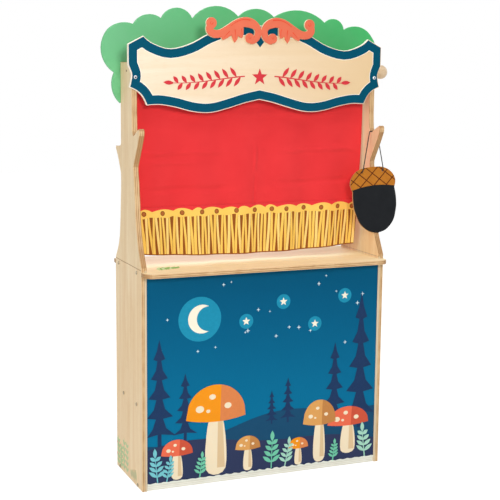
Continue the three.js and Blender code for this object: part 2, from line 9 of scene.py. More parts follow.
import logging
import math
import random
from collections.abc import Callable, Iterable, Sequence
from dataclasses import dataclass, field
from enum import Enum, IntEnum

import bmesh
import bpy
from mathutils import Matrix, Vector, geometry, noise

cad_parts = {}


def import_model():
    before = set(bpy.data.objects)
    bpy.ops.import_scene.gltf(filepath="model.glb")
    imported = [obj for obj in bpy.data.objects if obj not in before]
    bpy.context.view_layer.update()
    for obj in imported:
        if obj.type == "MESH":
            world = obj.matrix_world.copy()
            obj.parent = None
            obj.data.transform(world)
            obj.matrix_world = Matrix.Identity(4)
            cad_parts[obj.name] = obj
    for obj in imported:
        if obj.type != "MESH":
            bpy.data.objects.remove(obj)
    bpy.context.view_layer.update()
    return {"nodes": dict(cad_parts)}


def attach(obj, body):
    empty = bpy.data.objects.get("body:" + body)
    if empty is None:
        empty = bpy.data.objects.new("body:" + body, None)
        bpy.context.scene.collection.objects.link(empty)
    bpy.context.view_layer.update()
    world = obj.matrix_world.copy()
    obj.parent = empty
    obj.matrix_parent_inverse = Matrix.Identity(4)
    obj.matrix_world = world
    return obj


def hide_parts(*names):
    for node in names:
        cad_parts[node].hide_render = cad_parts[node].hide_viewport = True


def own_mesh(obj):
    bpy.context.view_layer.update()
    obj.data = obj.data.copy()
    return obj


LOG = logging.getLogger("theatre")
MM = 0.001
WHITE = (1.0, 1.0, 1.0, 1.0)
# Outer faces of the side panels and the posts, each way from the middle, in mm
SIDE_FACE = 362.5
# Share of a unit normal along a board's depth from which a surface counts as its face, and as its front
FACE_SHARE = 0.9
FRONT_SHARE = 0.5

Flat = tuple[float, float]
Spot = tuple[float, float, float]
Seat = Callable[[float, float, float], Vector]
Nodes = dict[str, bpy.types.Object]
Socket = bpy.types.NodeSocket


class Axis(Enum):
    """An axis of the frame, by the name of its output on a Separate XYZ node."""

    X = "X"
    Y = "Y"
    Z = "Z"


def linear(hex_colour: str) -> tuple[float, float, float, float]:
    """Turns an sRGB colour into the linear one that a shader takes.

    Args:
        hex_colour: Six hex digits after a hash sign.

    Returns:
        Red, green, blue and an alpha of one.
    """
    channels = [int(hex_colour[k : k + 2], 16) / 255 for k in (1, 3, 5)]
    red, green, blue = (c / 12.92 if c <= 0.04045 else ((c + 0.055) / 1.055) ** 2.4 for c in channels)
    return red, green, blue, 1.0


class Graph:
    """Node tree of one material or world, with a short call for each kind of node that repeats."""

    def __init__(self, tree: bpy.types.NodeTree) -> None:
        """Takes a tree and empties it."""
        self.tree = tree
        tree.nodes.clear()

    def add(self, kind: str, feeds: dict[str | int, object] | None = None, **settings: object) -> bpy.types.Node:
        """Adds a node with its settings and its links.

        Args:
            kind: Class name of the node, without its prefix.
            feeds: For each socket, by name or number, its value or the output that runs into it.
            **settings: The node's own properties.

        Returns:
            The node.
        """
        node = self.tree.nodes.new(f"ShaderNode{kind}")
        for name, value in settings.items():
            setattr(node, name, value)
        self.feed(node, feeds or {})
        return node

    def feed(self, node: bpy.types.Node, feeds: dict[str | int, object]) -> None:
        """Sets a node's sockets.

        Args:
            node: The node.
            feeds: For each socket, by name or number, its value or the output that runs into it.
        """
        for key, value in feeds.items():
            if isinstance(value, Socket):
                self.tree.links.new(value, node.inputs[key])
            else:
                node.inputs[key].default_value = value

    def point(self) -> Socket:
        """Gives the shaded point in the frame, in metres."""
        return self.add("TexCoord").outputs["Object"]

    def split(self, place: Socket) -> bpy.types.NodeOutputs:
        """Gives the X, Y and Z of a place."""
        return self.add("SeparateXYZ", {0: place}).outputs

    def join(self, *parts: Socket) -> Socket:
        """Makes a place of two or three numbers."""
        return self.add("CombineXYZ", dict(enumerate(parts))).outputs[0]

    def mapped(self, **feeds: object) -> Socket:
        """Gives a place in a space that is moved, turned or scaled."""
        return self.add("Mapping", feeds, vector_type="TEXTURE").outputs[0]

    def maths(self, operation: str, *values: float | Socket, **settings: object) -> Socket:
        """Works out a number from others."""
        return self.add("Math", dict(enumerate(values)), operation=operation, **settings).outputs[0]

    def remap(self, value: Socket, span: Flat = (0.0, 1.0), to: Flat = (0.0, 1.0), **settings: object) -> Socket:
        """Maps one span of values to another, and clamps the result to it."""
        feeds = {"Value": value, "From Min": span[0], "From Max": span[1], "To Min": to[0], "To Max": to[1]}
        return self.add("MapRange", feeds, **settings).outputs[0]

    def noise(self, place: Socket, scale: float, detail: float = 2.0, **feeds: float) -> Socket:
        """Gives cloudy noise at a place."""
        return self.add("TexNoise", {"Vector": place, "Scale": scale, "Detail": detail, **feeds}).outputs[0]

    def mix(self, share: Socket, start: str | Socket, end: str | Socket) -> Socket:
        """Mixes two colours, each an output or hex digits."""
        start, end = (linear(colour) if isinstance(colour, str) else colour for colour in (start, end))
        return self.add("Mix", {"Factor": share, "A": start, "B": end}, data_type="RGBA").outputs["Result"]

    def scaled(self, colour: Socket, factor: Socket) -> Socket:
        """Brightens or darkens a colour."""
        return self.add("VectorMath", {0: colour, "Scale": factor}, operation="SCALE").outputs[0]

    def bump(self, height: Socket, strength: float, distance: float = 0.3) -> Socket:
        """Turns heights into a normal, with the full height as a distance in mm."""
        return self.add("Bump", {"Height": height, "Strength": strength, "Distance": distance * MM}).outputs[0]

    def seen(self) -> Socket:
        """Gives one where the camera or a glossy surface looks, and zero for all other light."""
        path = self.add("LightPath").outputs
        return self.maths("MAXIMUM", path["Is Camera Ray"], path["Is Glossy Ray"])


@dataclass(frozen=True)
class BoardSpace:
    """How a board lies, so that its grain and its veneers run the right way.

    Attributes:
        grain: Axis that the face grain runs along.
        across: Axis across the grain, in the board's plane.
        depth: Axis of the board's thickness.
        outside: Place of the face that people see, along the depth axis, in mm.
        place: Origin of the board's own space, in metres.
        turn: Turn of the board's own space, as an XYZ Euler in radians.
    """

    grain: Axis
    across: Axis
    depth: Axis
    outside: float
    place: Spot = (0.0, 0.0, 0.0)
    turn: Spot = (0.0, 0.0, 0.0)

    def sockets(self, graph: Graph) -> dict[str, Socket]:
        """Gives the board's coordinates in mm and how squarely a surface faces along its depth.

        Args:
            graph: Node tree of the material.

        Returns:
            Sockets named grain, across, depth, facing and cut, which is how squarely the grain is cut.
        """
        source = graph.add("TexCoord").outputs
        place = graph.mapped(Vector=source["Object"], Location=self.place, Rotation=self.turn, Scale=(MM, MM, MM))
        point = graph.split(place)
        normal = graph.split(graph.mapped(Vector=source["Normal"], Rotation=self.turn))
        return {
            "grain": point[self.grain.value],
            "across": point[self.across.value],
            "depth": graph.maths("ABSOLUTE", graph.maths("SUBTRACT", point[self.depth.value], self.outside)),
            "facing": normal[self.depth.value],
            "cut": normal[self.grain.value],
        }


@dataclass(frozen=True)
class Finish:
    """A finish that makes its own node material."""

    name: str

    def material(self) -> bpy.types.Material:
        """Makes the material, or gives the one of that name again.

        Returns:
            A node material with one Principled shader.
        """
        if self.name in bpy.data.materials:
            return bpy.data.materials[self.name]
        material = bpy.data.materials.new(self.name)
        material.use_nodes = True
        graph = Graph(material.node_tree)
        shader = graph.add("BsdfPrincipled")
        graph.add("OutputMaterial", {"Surface": shader.outputs["BSDF"]})
        self.dress(graph, shader)
        return material

    def dress(self, graph: Graph, shader: bpy.types.Node) -> None:
        """Feeds the sockets of the material's Principled shader."""
        raise NotImplementedError


@dataclass(frozen=True)
class SandedBirchPlywood(Finish):
    """Birch plywood, sanded and clear-lacquered.

    Rotary-cut birch is pale and nearly even, with long soft figure and short dark fibres. The edge shows
    its thin cross-laid veneers, darker where the saw met end grain.
    """

    space: BoardSpace
    light: str = "#f3dcb6"
    dark: str = "#e6c493"
    fibre: str = "#c89c66"
    edge_light: str = "#d6b588"
    edge_dark: str = "#a67a4b"
    end_grain: str = "#a07445"
    inner_edge: str = ""
    inner_edge_depth: float = 9.0
    # Painted shade: across the span the face turns from its own tone at the left end to this darker, warmer one at the
    # right, where less light falls; none when empty
    shaded_end: str = ""
    shaded_span: Flat = (-375.0, 375.0)
    shine: float = 0.3
    # Veneers are 2.5 mm thick, so a 15 mm board has six
    veneer: float = 2.5
    # Growth figure of rotary-cut birch: streaks about 400 mm long and 30 mm wide
    figure_size: Flat = (400.0, 30.0)
    # Fibre flecks are 22 mm long and 0.3 mm wide in birch; drawn 1.6 mm wide so that they show at all
    fibre_size: Flat = (22.0, 1.6)

    @staticmethod
    def stretched(graph: Graph, spot: dict[str, Socket], size: Flat) -> list[Socket]:
        """Gives places along and across the grain, counted in streaks of one size."""
        return [graph.maths("MULTIPLY", spot[way], 1 / length) for way, length in zip(("grain", "across"), size)]

    def veneers(self, graph: Graph, spot: dict[str, Socket]) -> Socket:
        """Gives the colour of the sawn edge.

        Args:
            graph: Node tree of the material.
            spot: The board's coordinates.

        Returns:
            Colour of the veneers, with a paler inner part where the edge has one.
        """
        wave = graph.maths("SINE", graph.maths("MULTIPLY", spot["depth"], math.pi / self.veneer))
        rough = graph.noise(graph.join(spot["grain"], spot["across"], spot["depth"]), 0.03)
        share = graph.remap(graph.maths("MULTIPLY_ADD", wave, 0.35, rough), (0.15, 0.65))
        burnt = graph.remap(graph.maths("ABSOLUTE", spot["cut"]), (0.16, 0.5), (0.0, 0.7))
        sawn = graph.mix(burnt, graph.mix(share, self.edge_dark, self.edge_light), self.end_grain)
        if not self.inner_edge:
            return sawn
        return graph.mix(graph.maths("GREATER_THAN", spot["depth"], self.inner_edge_depth), sawn, self.inner_edge)

    def figure(self, graph: Graph, spot: dict[str, Socket]) -> tuple[Socket, Socket]:
        """Gives the colour of the board's face and its fibre pattern.

        Args:
            graph: Node tree of the material.
            spot: The board's coordinates.

        Returns:
            Colour of the face, then the share of dark fibre at each point.
        """
        place = graph.join(*self.stretched(graph, spot, self.figure_size), spot["depth"])
        soft = graph.noise(place, 1.0, 3.0, Roughness=0.55, Distortion=0.8)
        base = graph.mix(graph.remap(soft, (0.3, 0.7)), self.dark, self.light)
        # Painted shade that deepens towards the right end of the board
        if self.shaded_end:
            base = graph.mix(graph.remap(spot["grain"], self.shaded_span), base, self.shaded_end)
        fine = graph.noise(graph.join(*self.stretched(graph, spot, self.fibre_size)), 1.0)
        return graph.mix(graph.remap(fine, (0.55, 0.85), (0.0, 0.45)), base, self.fibre), fine

    def surface(self, graph: Graph) -> tuple[Socket, Socket, dict[str, Socket]]:
        """Joins the face and the edge.

        Args:
            graph: Node tree of the material.

        Returns:
            Colour, fibre pattern and the board's coordinates.
        """
        spot = self.space.sockets(graph)
        face, fibre = self.figure(graph, spot)
        on_face = graph.maths("GREATER_THAN", graph.maths("ABSOLUTE", spot["facing"]), FACE_SHARE)
        return graph.mix(on_face, self.veneers(graph, spot), face), fibre, spot

    def lacquer(self, graph: Graph, shader: bpy.types.Node, colour: Socket, fibre: Socket, gloss: float = 0.5) -> None:
        """Lays a thin satin lacquer that keeps the feel of the grain.

        Args:
            graph: Node tree of the material.
            shader: Its Principled shader.
            colour: Colour under the lacquer.
            fibre: Pattern that roughens it.
            gloss: Middle roughness of the lacquer.
        """
        feeds = {
            "Base Color": colour,
            "Roughness": graph.remap(fibre, to=(gloss - 0.08, gloss + 0.12)),
            "Normal": graph.bump(fibre, 0.12),
            "IOR": 1.5,
            "Specular IOR Level": self.shine,
        }
        graph.feed(shader, feeds)

    def dress(self, graph: Graph, shader: bpy.types.Node) -> None:
        """Feeds the shader with bare lacquered plywood."""
        colour, fibre, _ = self.surface(graph)
        self.lacquer(graph, shader, colour, fibre)


@dataclass(frozen=True)
class PaintedPlywood(SandedBirchPlywood):
    """Birch plywood with one or more painted faces, and sawn edges left bare.

    Silk paint rolled on a sanded board: even, faintly pebbled, with the board's fibre just felt through it.
    """

    paint: str = "#4bb866"
    paint_shaded_end: str = "#44aa5e"
    painted_edge: bool = False
    # Half the length over which the coat runs from its left tone to its right one: painted light, lighter where a
    # sheen of the lamps falls at the left and in painted shade at the right
    run: float = 400.0
    # Roller stipple is about 2 mm across
    stipple: float = 2.0

    def dress(self, graph: Graph, shader: bpy.types.Node) -> None:
        """Feeds the shader with paint on the face and veneers on the edge.

        Args:
            graph: Node tree of the material.
            shader: Its Principled shader.
        """
        wood, fibre, spot = self.surface(graph)
        place = graph.join(spot["grain"], spot["across"], spot["depth"])
        cloud = graph.noise(place, 0.02)
        pebble = graph.noise(place, 1 / self.stipple, 1.0)
        # Painted light: the coat is lighter towards the left end and darker towards the right one
        along = graph.remap(spot["grain"], (-self.run, self.run))
        share = graph.maths("SUBTRACT", graph.maths("MULTIPLY_ADD", cloud, 0.4, along), 0.2, use_clamp=True)
        coat = graph.mix(share, self.paint, self.paint_shaded_end)
        if not self.painted_edge:
            coat = graph.mix(graph.maths("LESS_THAN", spot["facing"], -FRONT_SHARE), wood, coat)
        self.lacquer(graph, shader, coat, graph.maths("ADD", pebble, fibre), gloss=0.52)


@dataclass(frozen=True)
class NightSkyPanel(SandedBirchPlywood):
    """Thin plywood panel printed deep blue on its front.

    Flat printing over sanded wood: a satin blue that grows lighter towards the ground, with faint streaks of
    the veneer's fibre in the ink.
    """

    top: str = "#035478"
    bottom: str = "#056e96"
    shine: float = 0.05
    fade: Flat = (90.0, 590.0)

    def dress(self, graph: Graph, shader: bpy.types.Node) -> None:
        """Feeds the shader with a sky that fades upwards.

        Args:
            graph: Node tree of the material.
            shader: Its Principled shader.
        """
        wood, fibre, spot = self.surface(graph)
        height = graph.remap(spot["grain"], self.fade, interpolation_type="SMOOTHSTEP")
        streak = graph.remap(fibre, to=(0.93, 1.07))
        printed = graph.scaled(graph.mix(height, self.bottom, self.top), streak)
        colour = graph.mix(graph.maths("LESS_THAN", spot["facing"], -FRONT_SHARE), wood, printed)
        self.lacquer(graph, shader, colour, fibre, gloss=0.45)


@dataclass(frozen=True)
class PrintInk(Finish):
    """Screen-printed ink on sanded wood or cotton.

    A thin opaque layer with a soft sheen. It is very slightly mottled where the ground drinks it.
    """

    colour: str
    shade: str = ""
    rough: float = 0.6
    shine: float = 0.05
    # Mottling of the ink where it soaks in, about 6 mm across
    mottle: float = 6.0

    def dress(self, graph: Graph, shader: bpy.types.Node) -> None:
        """Feeds the shader with mottled ink.

        Args:
            graph: Node tree of the material.
            shader: Its Principled shader.
        """
        cloud = graph.noise(graph.point(), 1 / (self.mottle * MM))
        body = graph.mix(cloud, self.colour, self.shade or self.colour)
        feeds = {
            "Base Color": graph.scaled(body, graph.remap(cloud, to=(0.95, 1.05))),
            "Roughness": graph.remap(cloud, to=(self.rough - 0.06, self.rough + 0.08)),
            "Specular IOR Level": self.shine,
        }
        graph.feed(shader, feeds)


@dataclass(frozen=True)
class AcornPaint(SandedBirchPlywood):
    """Chalkboard paint on the nut and ochre paint with brown lattice lines on the cap.

    Chalkboard paint is dead matt, almost black, with a haze of old chalk dust. The cap is a silk ochre.
    """

    chalk: str = "#141619"
    dust: str = "#1f2124"
    cap: str = "#a9661f"
    cap_light: str = "#bd7828"
    line: str = "#5b260e"
    shine: float = 0.1
    cap_drop: float = 62.0
    cap_arch: float = 9.0
    half_width: float = 73.0
    # Lattice lines are 4.5 mm wide and 42 mm apart across the grain, and run 1.15 across for each one along it
    line_width: float = 4.48
    line_pitch: float = 42.0
    line_slant: float = 1.15

    def lattice(self, graph: Graph, spot: dict[str, Socket]) -> Socket:
        """Lays the crossed lines of the cap.

        Args:
            graph: Node tree of the material.
            spot: The board's coordinates.

        Returns:
            One on a line and zero beside it.
        """
        near = []
        for way in (-self.line_slant, self.line_slant):
            slant = graph.maths("MULTIPLY_ADD", spot["grain"], way, spot["across"])
            share = graph.maths("FRACT", graph.maths("MULTIPLY", slant, 1 / self.line_pitch))
            off = graph.maths("ABSOLUTE", graph.maths("SUBTRACT", share, 0.5))
            near.append(graph.maths("LESS_THAN", off, self.line_width / (self.line_pitch * 2)))
        return graph.maths("MAXIMUM", *near)

    def dress(self, graph: Graph, shader: bpy.types.Node) -> None:
        """Feeds the shader with the nut's chalkboard and the cap's paint.

        Args:
            graph: Node tree of the material.
            shader: Its Principled shader.
        """
        wood, fibre, spot = self.surface(graph)
        haze = graph.noise(graph.join(spot["grain"], spot["across"]), 0.03, 4.0)
        board = graph.mix(haze, self.chalk, self.dust)
        cap = graph.mix(self.lattice(graph, spot), graph.mix(haze, self.cap, self.cap_light), self.line)
        bow = graph.maths("POWER", graph.maths("MULTIPLY", spot["across"], 1 / self.half_width), 2.0)
        limit = graph.maths("MULTIPLY_ADD", bow, -self.cap_arch, self.cap_arch - self.cap_drop)
        painted = graph.mix(graph.maths("GREATER_THAN", spot["grain"], limit), board, cap)
        colour = graph.mix(graph.maths("GREATER_THAN", spot["facing"], FRONT_SHARE), wood, painted)
        self.lacquer(graph, shader, colour, fibre, gloss=0.7)


@dataclass(frozen=True)
class TurnedBeech(Finish):
    """Beech turned on a lathe and sanded.

    Beech is a shade pinker than birch, with short dark rays and soft growth bands that run along the rod.
    """

    light: str = "#e8cda6"
    dark: str = "#d3ae7e"
    ray: str = "#a87b4c"
    axis: Flat = (5.0, 1133.0)
    # Growth bands of beech are about 3 mm wide, its rays 0.5 mm by 3 mm, drawn 1 mm wide
    band: float = 3.0
    ray_width: float = 1.0
    # How many times longer than wide the bands and rays are
    stretch: float = 14.0

    def dress(self, graph: Graph, shader: bpy.types.Node) -> None:
        """Feeds the shader with bands and rays along X.

        Args:
            graph: Node tree of the material.
            shader: Its Principled shader.
        """
        axis = (0.0, self.axis[0] * MM, self.axis[1] * MM)
        place = graph.mapped(Vector=graph.point(), Location=axis, Scale=(MM * self.stretch, MM, MM))
        bands = graph.noise(place, 1 / self.band, 3.0, Distortion=0.4)
        rays = graph.noise(place, 1 / self.ray_width, 1.0)
        share = graph.remap(rays, (0.6, 0.8), (0.0, 0.5))
        feeds = {
            "Base Color": graph.mix(share, graph.mix(bands, self.dark, self.light), self.ray),
            "Roughness": graph.remap(bands, to=(0.38, 0.55)),
            "Normal": graph.bump(rays, 0.1),
        }
        graph.feed(shader, feeds)


@dataclass(frozen=True)
class WovenCotton(Finish):
    """Plain-woven cotton, piece-dyed or printed.

    The weave scatters light at grazing angles, so the cloth has a soft bloom, and its colour varies a little
    from thread to thread.
    """

    colour: str
    deep: str
    # Threads are 0.4 mm apart; drawn 1.2 mm apart so that the weave shows in close views
    thread: float = 1.2

    def dress(self, graph: Graph, shader: bpy.types.Node) -> None:
        """Feeds the shader with warp and weft in the XZ plane.

        Args:
            graph: Node tree of the material.
            shader: Its Principled shader.
        """
        point = graph.point()
        parts = graph.split(point)
        turns = math.pi / (self.thread * MM)
        waves = [graph.maths("SINE", graph.maths("MULTIPLY", parts[way], turns)) for way in "XZ"]
        weave = graph.maths("MULTIPLY", *waves)
        share = graph.maths("MULTIPLY_ADD", weave, 0.1, graph.noise(point, 14.0, 4.0))
        feeds = {
            "Base Color": graph.mix(share, self.deep, self.colour),
            "Normal": graph.bump(weave, 0.15, 0.2),
            "Roughness": 0.9,
            "Sheen Weight": 0.15,
            "Sheen Roughness": 0.5,
            "Specular IOR Level": 0.2,
        }
        graph.feed(shader, feeds)


@dataclass(frozen=True)
class PlatedSteel(Finish):
    """Zinc-plated steel, or brass, as a screw factory leaves it.

    A satin metal with fine cold-heading scratches and slightly uneven plating.
    """

    colour: str = "#c9cbcc"
    deep: str = "#9fa3a6"
    rough: float = 0.3
    # Tool marks are about 0.2 mm apart; drawn 0.8 mm apart
    mark: float = 0.8
    # Where mirrored screws have their driver's recess: half the way between them and their height, in mm. A dark disc
    # there is painted shade of the recess
    recess: Flat | None = None
    recess_radius: float = 2.2
    recess_painted_shade: str = "#2b2d30"

    def dress(self, graph: Graph, shader: bpy.types.Node) -> None:
        """Feeds the shader with plated metal.

        Args:
            graph: Node tree of the material.
            shader: Its Principled shader.
        """
        point = graph.point()
        marks = graph.noise(point, 1 / (self.mark * MM))
        tone = graph.mix(marks, self.deep, self.colour)
        # Painted shade: a dark disc on the head where the recess lies
        if self.recess:
            parts = graph.split(point)
            place = graph.join(graph.maths("ABSOLUTE", parts["X"]), parts["Z"])
            axis = (self.recess[0] * MM, self.recess[1] * MM, 0.0)
            off = graph.add("VectorMath", {0: place, 1: axis}, operation="DISTANCE").outputs["Value"]
            tone = graph.mix(graph.maths("LESS_THAN", off, self.recess_radius * MM), tone, self.recess_painted_shade)
        rough = graph.remap(marks, to=(self.rough - 0.08, self.rough + 0.12))
        graph.feed(shader, {"Base Color": tone, "Roughness": rough, "Metallic": 1.0})


@dataclass(frozen=True)
class BraidedCord(Finish):
    """Waxed black polyester braid.

    Its strands cross on a slant and catch small highlights along the cord.
    """

    colour: str = "#080706"
    strand: str = "#161412"
    # Strands of the braid are 0.9 mm apart along the cord
    pitch: float = 0.9

    def dress(self, graph: Graph, shader: bpy.types.Node) -> None:
        """Feeds the shader with crossed strands.

        Args:
            graph: Node tree of the material.
            shader: Its Principled shader.
        """
        feeds = {"Vector": graph.point(), "Scale": 0.3 / (self.pitch * MM), "Distortion": 1.0}
        strands = graph.add("TexWave", feeds, bands_direction="DIAGONAL").outputs["Fac"]
        tone = graph.mix(strands, self.colour, self.strand)
        graph.feed(shader, {"Base Color": tone, "Normal": graph.bump(strands, 0.5), "Roughness": 0.6})


@dataclass(frozen=True)
class SweepFloor(Finish):
    """Seamless white paper that the stand is photographed on."""

    glow: float = 0.8
    white: float = 1.17

    def dress(self, graph: Graph, shader: bpy.types.Node) -> None:
        """Mixes paper with plain white for what the camera, metal and glass see.

        Args:
            graph: Node tree of the material.
            shader: Its Principled shader.
        """
        tooth = graph.noise(graph.point(), 40.0)
        graph.feed(shader, {"Base Color": graph.remap(tooth, to=(0.93, 0.95)), "Roughness": 0.9})
        through = graph.add("LightPath").outputs["Is Transmission Ray"]
        share = graph.maths("MULTIPLY", graph.maths("MAXIMUM", graph.seen(), through), self.glow)
        white = graph.add("Emission", {"Color": WHITE, "Strength": self.white}).outputs[0]
        mixed = graph.add("MixShader", {0: share, 1: shader.outputs["BSDF"], 2: white}).outputs[0]
        output = next(node for node in graph.tree.nodes if node.bl_idname == "ShaderNodeOutputMaterial")
        graph.feed(output, {"Surface": mixed})


def clamp(value: float, low: float = 0.0, high: float = 1.0) -> float:
    """Keeps a number between two limits."""
    return min(max(value, low), high)


class Shapes:
    """Flat outlines that the prints are drawn with, in millimetres."""

    # How much nearer than asked an inset point may lie to the outline
    slack = 0.05

    @staticmethod
    def polar(centre: Flat, radii: Sequence[float], turn: int, start: float = 0.0, squeeze: float = 1.0) -> list[Flat]:
        """Gives points round a centre at steps of one part of a turn, from a start in radians."""
        angles = (start + 2 * math.pi * k / turn for k in range(len(radii)))
        return [(centre[0] + r * math.cos(a), centre[1] + squeeze * r * math.sin(a)) for r, a in zip(radii, angles)]

    @staticmethod
    def disc(centre: Flat, radius: float, sides: int = 28, squeeze: float = 1.0) -> list[Flat]:
        """Gives a round or oval outline."""
        return Shapes.polar(centre, [radius] * sides, sides, squeeze=squeeze)

    @staticmethod
    def star(centre: Flat, reach: float, points: int = 4, waist: float = 0.3) -> list[Flat]:
        """Gives a plain star, with its waist as a share of its reach."""
        return Shapes.polar(centre, [reach, reach * waist] * points, 2 * points, math.pi / 2)

    @staticmethod
    def leaf(root: Flat, tip: Flat, width: float, steps: int = 7) -> list[Flat]:
        """Gives a leaf that is pointed at both ends.

        Args:
            root: Where it grows from.
            tip: Where it ends.
            width: Its greatest width.
            steps: Points along each side.

        Returns:
            The outline.
        """
        start, end = Vector(root), Vector(tip)
        side = Vector((start.y - end.y, end.x - start.x)).normalized() * (width / 2)
        there = [start.lerp(end, k / steps) + side * math.sin(math.pi * k / steps) for k in range(steps)]
        back = [end.lerp(start, k / steps) - side * math.sin(math.pi * k / steps) for k in range(steps)]
        return [(p.x, p.y) for p in there + back]

    @staticmethod
    def stroke(points: Sequence[Flat], start: float, end: float) -> list[Flat]:
        """Gives a line of changing width.

        Args:
            points: Places that it runs through.
            start: Its width at the first one.
            end: Its width at the last one.

        Returns:
            The outline.
        """
        left, right = [], []
        last = len(points) - 1
        for k, point in enumerate(points):
            along = (Vector(points[min(k + 1, last)]) - Vector(points[max(k - 1, 0)])).normalized()
            half = (start + (end - start) * k / last) / 2
            left.append((point[0] - along.y * half, point[1] + along.x * half))
            right.append((point[0] + along.y * half, point[1] - along.x * half))
        return left + right[::-1]

    @staticmethod
    def curve(points: Sequence[Flat], steps: int = 6, closed: bool = False) -> list[Flat]:
        """Runs a smooth curve through points.

        Args:
            points: Places that it passes through.
            steps: Points for each stretch.
            closed: Whether it returns to its start.

        Returns:
            Points along the curve.
        """
        ends = (points[-1], *points, *points[:2]) if closed else (points[0], *points, points[-1])
        run = []
        for a, b, c, d in zip(*([Vector(p) for p in ends[k:]] for k in range(4))):
            for t in (step / steps for step in range(steps)):
                p = 0.5 * (2 * b + (c - a) * t + (2 * a - 5 * b + 4 * c - d) * t**2 + (3 * b - a - 3 * c + d) * t**3)
                run.append((p.x, p.y))
        return run if closed else run + [tuple(points[-1])]

    @staticmethod
    def inset(outline: Sequence[Flat], distance: float, step: float = 1.5) -> list[Flat]:
        """Moves a closed outline inwards and drops what would cross itself.

        Args:
            outline: Points in order.
            distance: How far in.
            step: Spacing of the points that are tried.

        Returns:
            The inner outline.
        """
        corners = [Vector(point) for point in outline]
        sides = list(zip(corners, corners[1:] + corners[:1]))
        way = math.copysign(1.0, sum(a.x * b.y - b.x * a.y for a, b in sides))
        normals = [Vector((a.y - b.y, b.x - a.x)).normalized() * way for a, b in sides]
        tries = []
        for k, (start, end) in enumerate(sides):
            middle = normals[k - 1] + normals[k]
            tries.append(start + middle * (2 * distance / middle.length_squared))
            pieces = max(int((end - start).length / step), 1)
            tries += [start + (end - start) * (j / pieces) + normals[k] * distance for j in range(1, pieces)]
        kept = (p for p in tries if min(Shapes.gap(p, *side) for side in sides) > distance - Shapes.slack)
        return [(p.x, p.y) for p in kept]

    @staticmethod
    def gap(point: Vector, start: Vector, end: Vector) -> float:
        """Gives the distance from a point to the stretch between two others."""
        share = clamp((point - start).dot(end - start) / (end - start).length_squared)
        return (start + (end - start) * share - point).length


def wall(
    mesh: bmesh.types.BMesh, low: Sequence[bmesh.types.BMVert], high: Sequence[bmesh.types.BMVert]
) -> list[bmesh.types.BMFace]:
    """Runs a wall between two rings of as many corners."""
    return [mesh.faces.new([low[k - 1], low[k], high[k], high[k - 1]]) for k in range(len(low))]


def settle(mesh: bmesh.types.BMesh, faces: Sequence[bmesh.types.BMFace], ink: int) -> None:
    """Finishes a closed shape in a mesh.

    Args:
        mesh: The mesh.
        faces: Faces of the shape, which are turned outwards.
        ink: Their material number.
    """
    for face in faces:
        face.material_index = ink
    bmesh.ops.recalc_face_normals(mesh, faces=faces)


def finish_mesh(
    mesh: bmesh.types.BMesh, name: str, finishes: Iterable[Finish], smooth: bool = False
) -> bpy.types.Object:
    """Turns mesh code into a piece with its materials.

    Args:
        mesh: Mesh in metres.
        name: The piece's name.
        finishes: Its finishes, by material number.
        smooth: Whether its faces shade smoothly.

    Returns:
        The piece, linked to the scene.
    """
    data = bpy.data.meshes.new(name)
    mesh.to_mesh(data)
    mesh.free()
    for finish in finishes:
        data.materials.append(finish.material())
    if smooth:
        data.shade_smooth()
    piece = bpy.data.objects.new(name, data)
    bpy.context.scene.collection.objects.link(piece)
    return piece


def add_sheet(
    mesh: bmesh.types.BMesh, rows: Sequence[Sequence[Flat]], place: Seat, heights: Flat, ink: int = 0
) -> None:
    """Adds a thin closed sheet over a grid of points.

    Args:
        mesh: Mesh that it goes into.
        rows: Rows of flat points in mm, all of one length.
        place: Turns flat millimetres and a height into a place in metres.
        heights: Heights of its back and front skins in mm.
        ink: Material number of its faces.
    """
    faces, rims = [], []
    for height in heights:
        skin = [[mesh.verts.new(place(u, v, height)) for u, v in row] for row in rows]
        for low, high in zip(skin, skin[1:]):
            faces += [mesh.faces.new([low[k], low[k + 1], high[k + 1], high[k]]) for k in range(len(low) - 1)]
        right, left = [row[-1] for row in skin[1:-1]], [row[0] for row in skin[-2:0:-1]]
        rims.append([*skin[0], *right, *reversed(skin[-1]), *left])
    settle(mesh, faces + wall(mesh, *rims), ink)


@dataclass
class FlatPrint:
    """Ink shapes on a flat board, each a thin closed film on the one before.

    Attributes:
        place: Turns flat millimetres and a height above the board into a place in metres.
        film: Height that each shape adds, in mm.
        shapes: Outlines of each shape, its holes among them, and its ink.
    """

    place: Seat
    film: float = 0.02
    shapes: list[tuple[list[list[Flat]], Finish]] = field(default_factory=list)

    @classmethod
    def upright(cls, front: float, film: float = 0.02) -> FlatPrint:
        """Starts a print on a face that looks to the front, at a place along Y in mm."""
        return cls(lambda u, v, h: Vector((u, front - h, v)) * MM, film)

    def add(self, finish: Finish, outline: Sequence[Flat], *holes: Sequence[Flat]) -> None:
        """Adds a shape of one ink, over the shapes that are there."""
        self.shapes.append(([list(outline), *[list(hole) for hole in holes]], finish))

    def build(self, name: str) -> bpy.types.Object:
        """Makes one piece of all the shapes.

        Args:
            name: The piece's name.

        Returns:
            The piece.
        """
        inks = {finish.name: finish for _, finish in self.shapes}
        mesh = bmesh.new()
        for layer, (loops, finish) in enumerate(self.shapes, start=2):
            flat = [point for loop in loops for point in loop]
            top = [mesh.verts.new(self.place(u, v, layer * self.film)) for u, v in flat]
            foot = [mesh.verts.new(self.place(u, v, 0.0)) for u, v in flat]
            faces = []
            for corners in geometry.tessellate_polygon([[Vector((u, v, 0.0)) for u, v in loop] for loop in loops]):
                faces.append(mesh.faces.new([top[k] for k in corners]))
                faces.append(mesh.faces.new([foot[k] for k in reversed(corners)]))
            start = 0
            for loop in loops:
                ring = slice(start, start + len(loop))
                faces += wall(mesh, top[ring], foot[ring])
                start += len(loop)
            for face in faces:
                face.material_index = list(inks).index(finish.name)
        bmesh.ops.recalc_face_normals(mesh, faces=mesh.faces)
        return finish_mesh(mesh, name, inks.values())


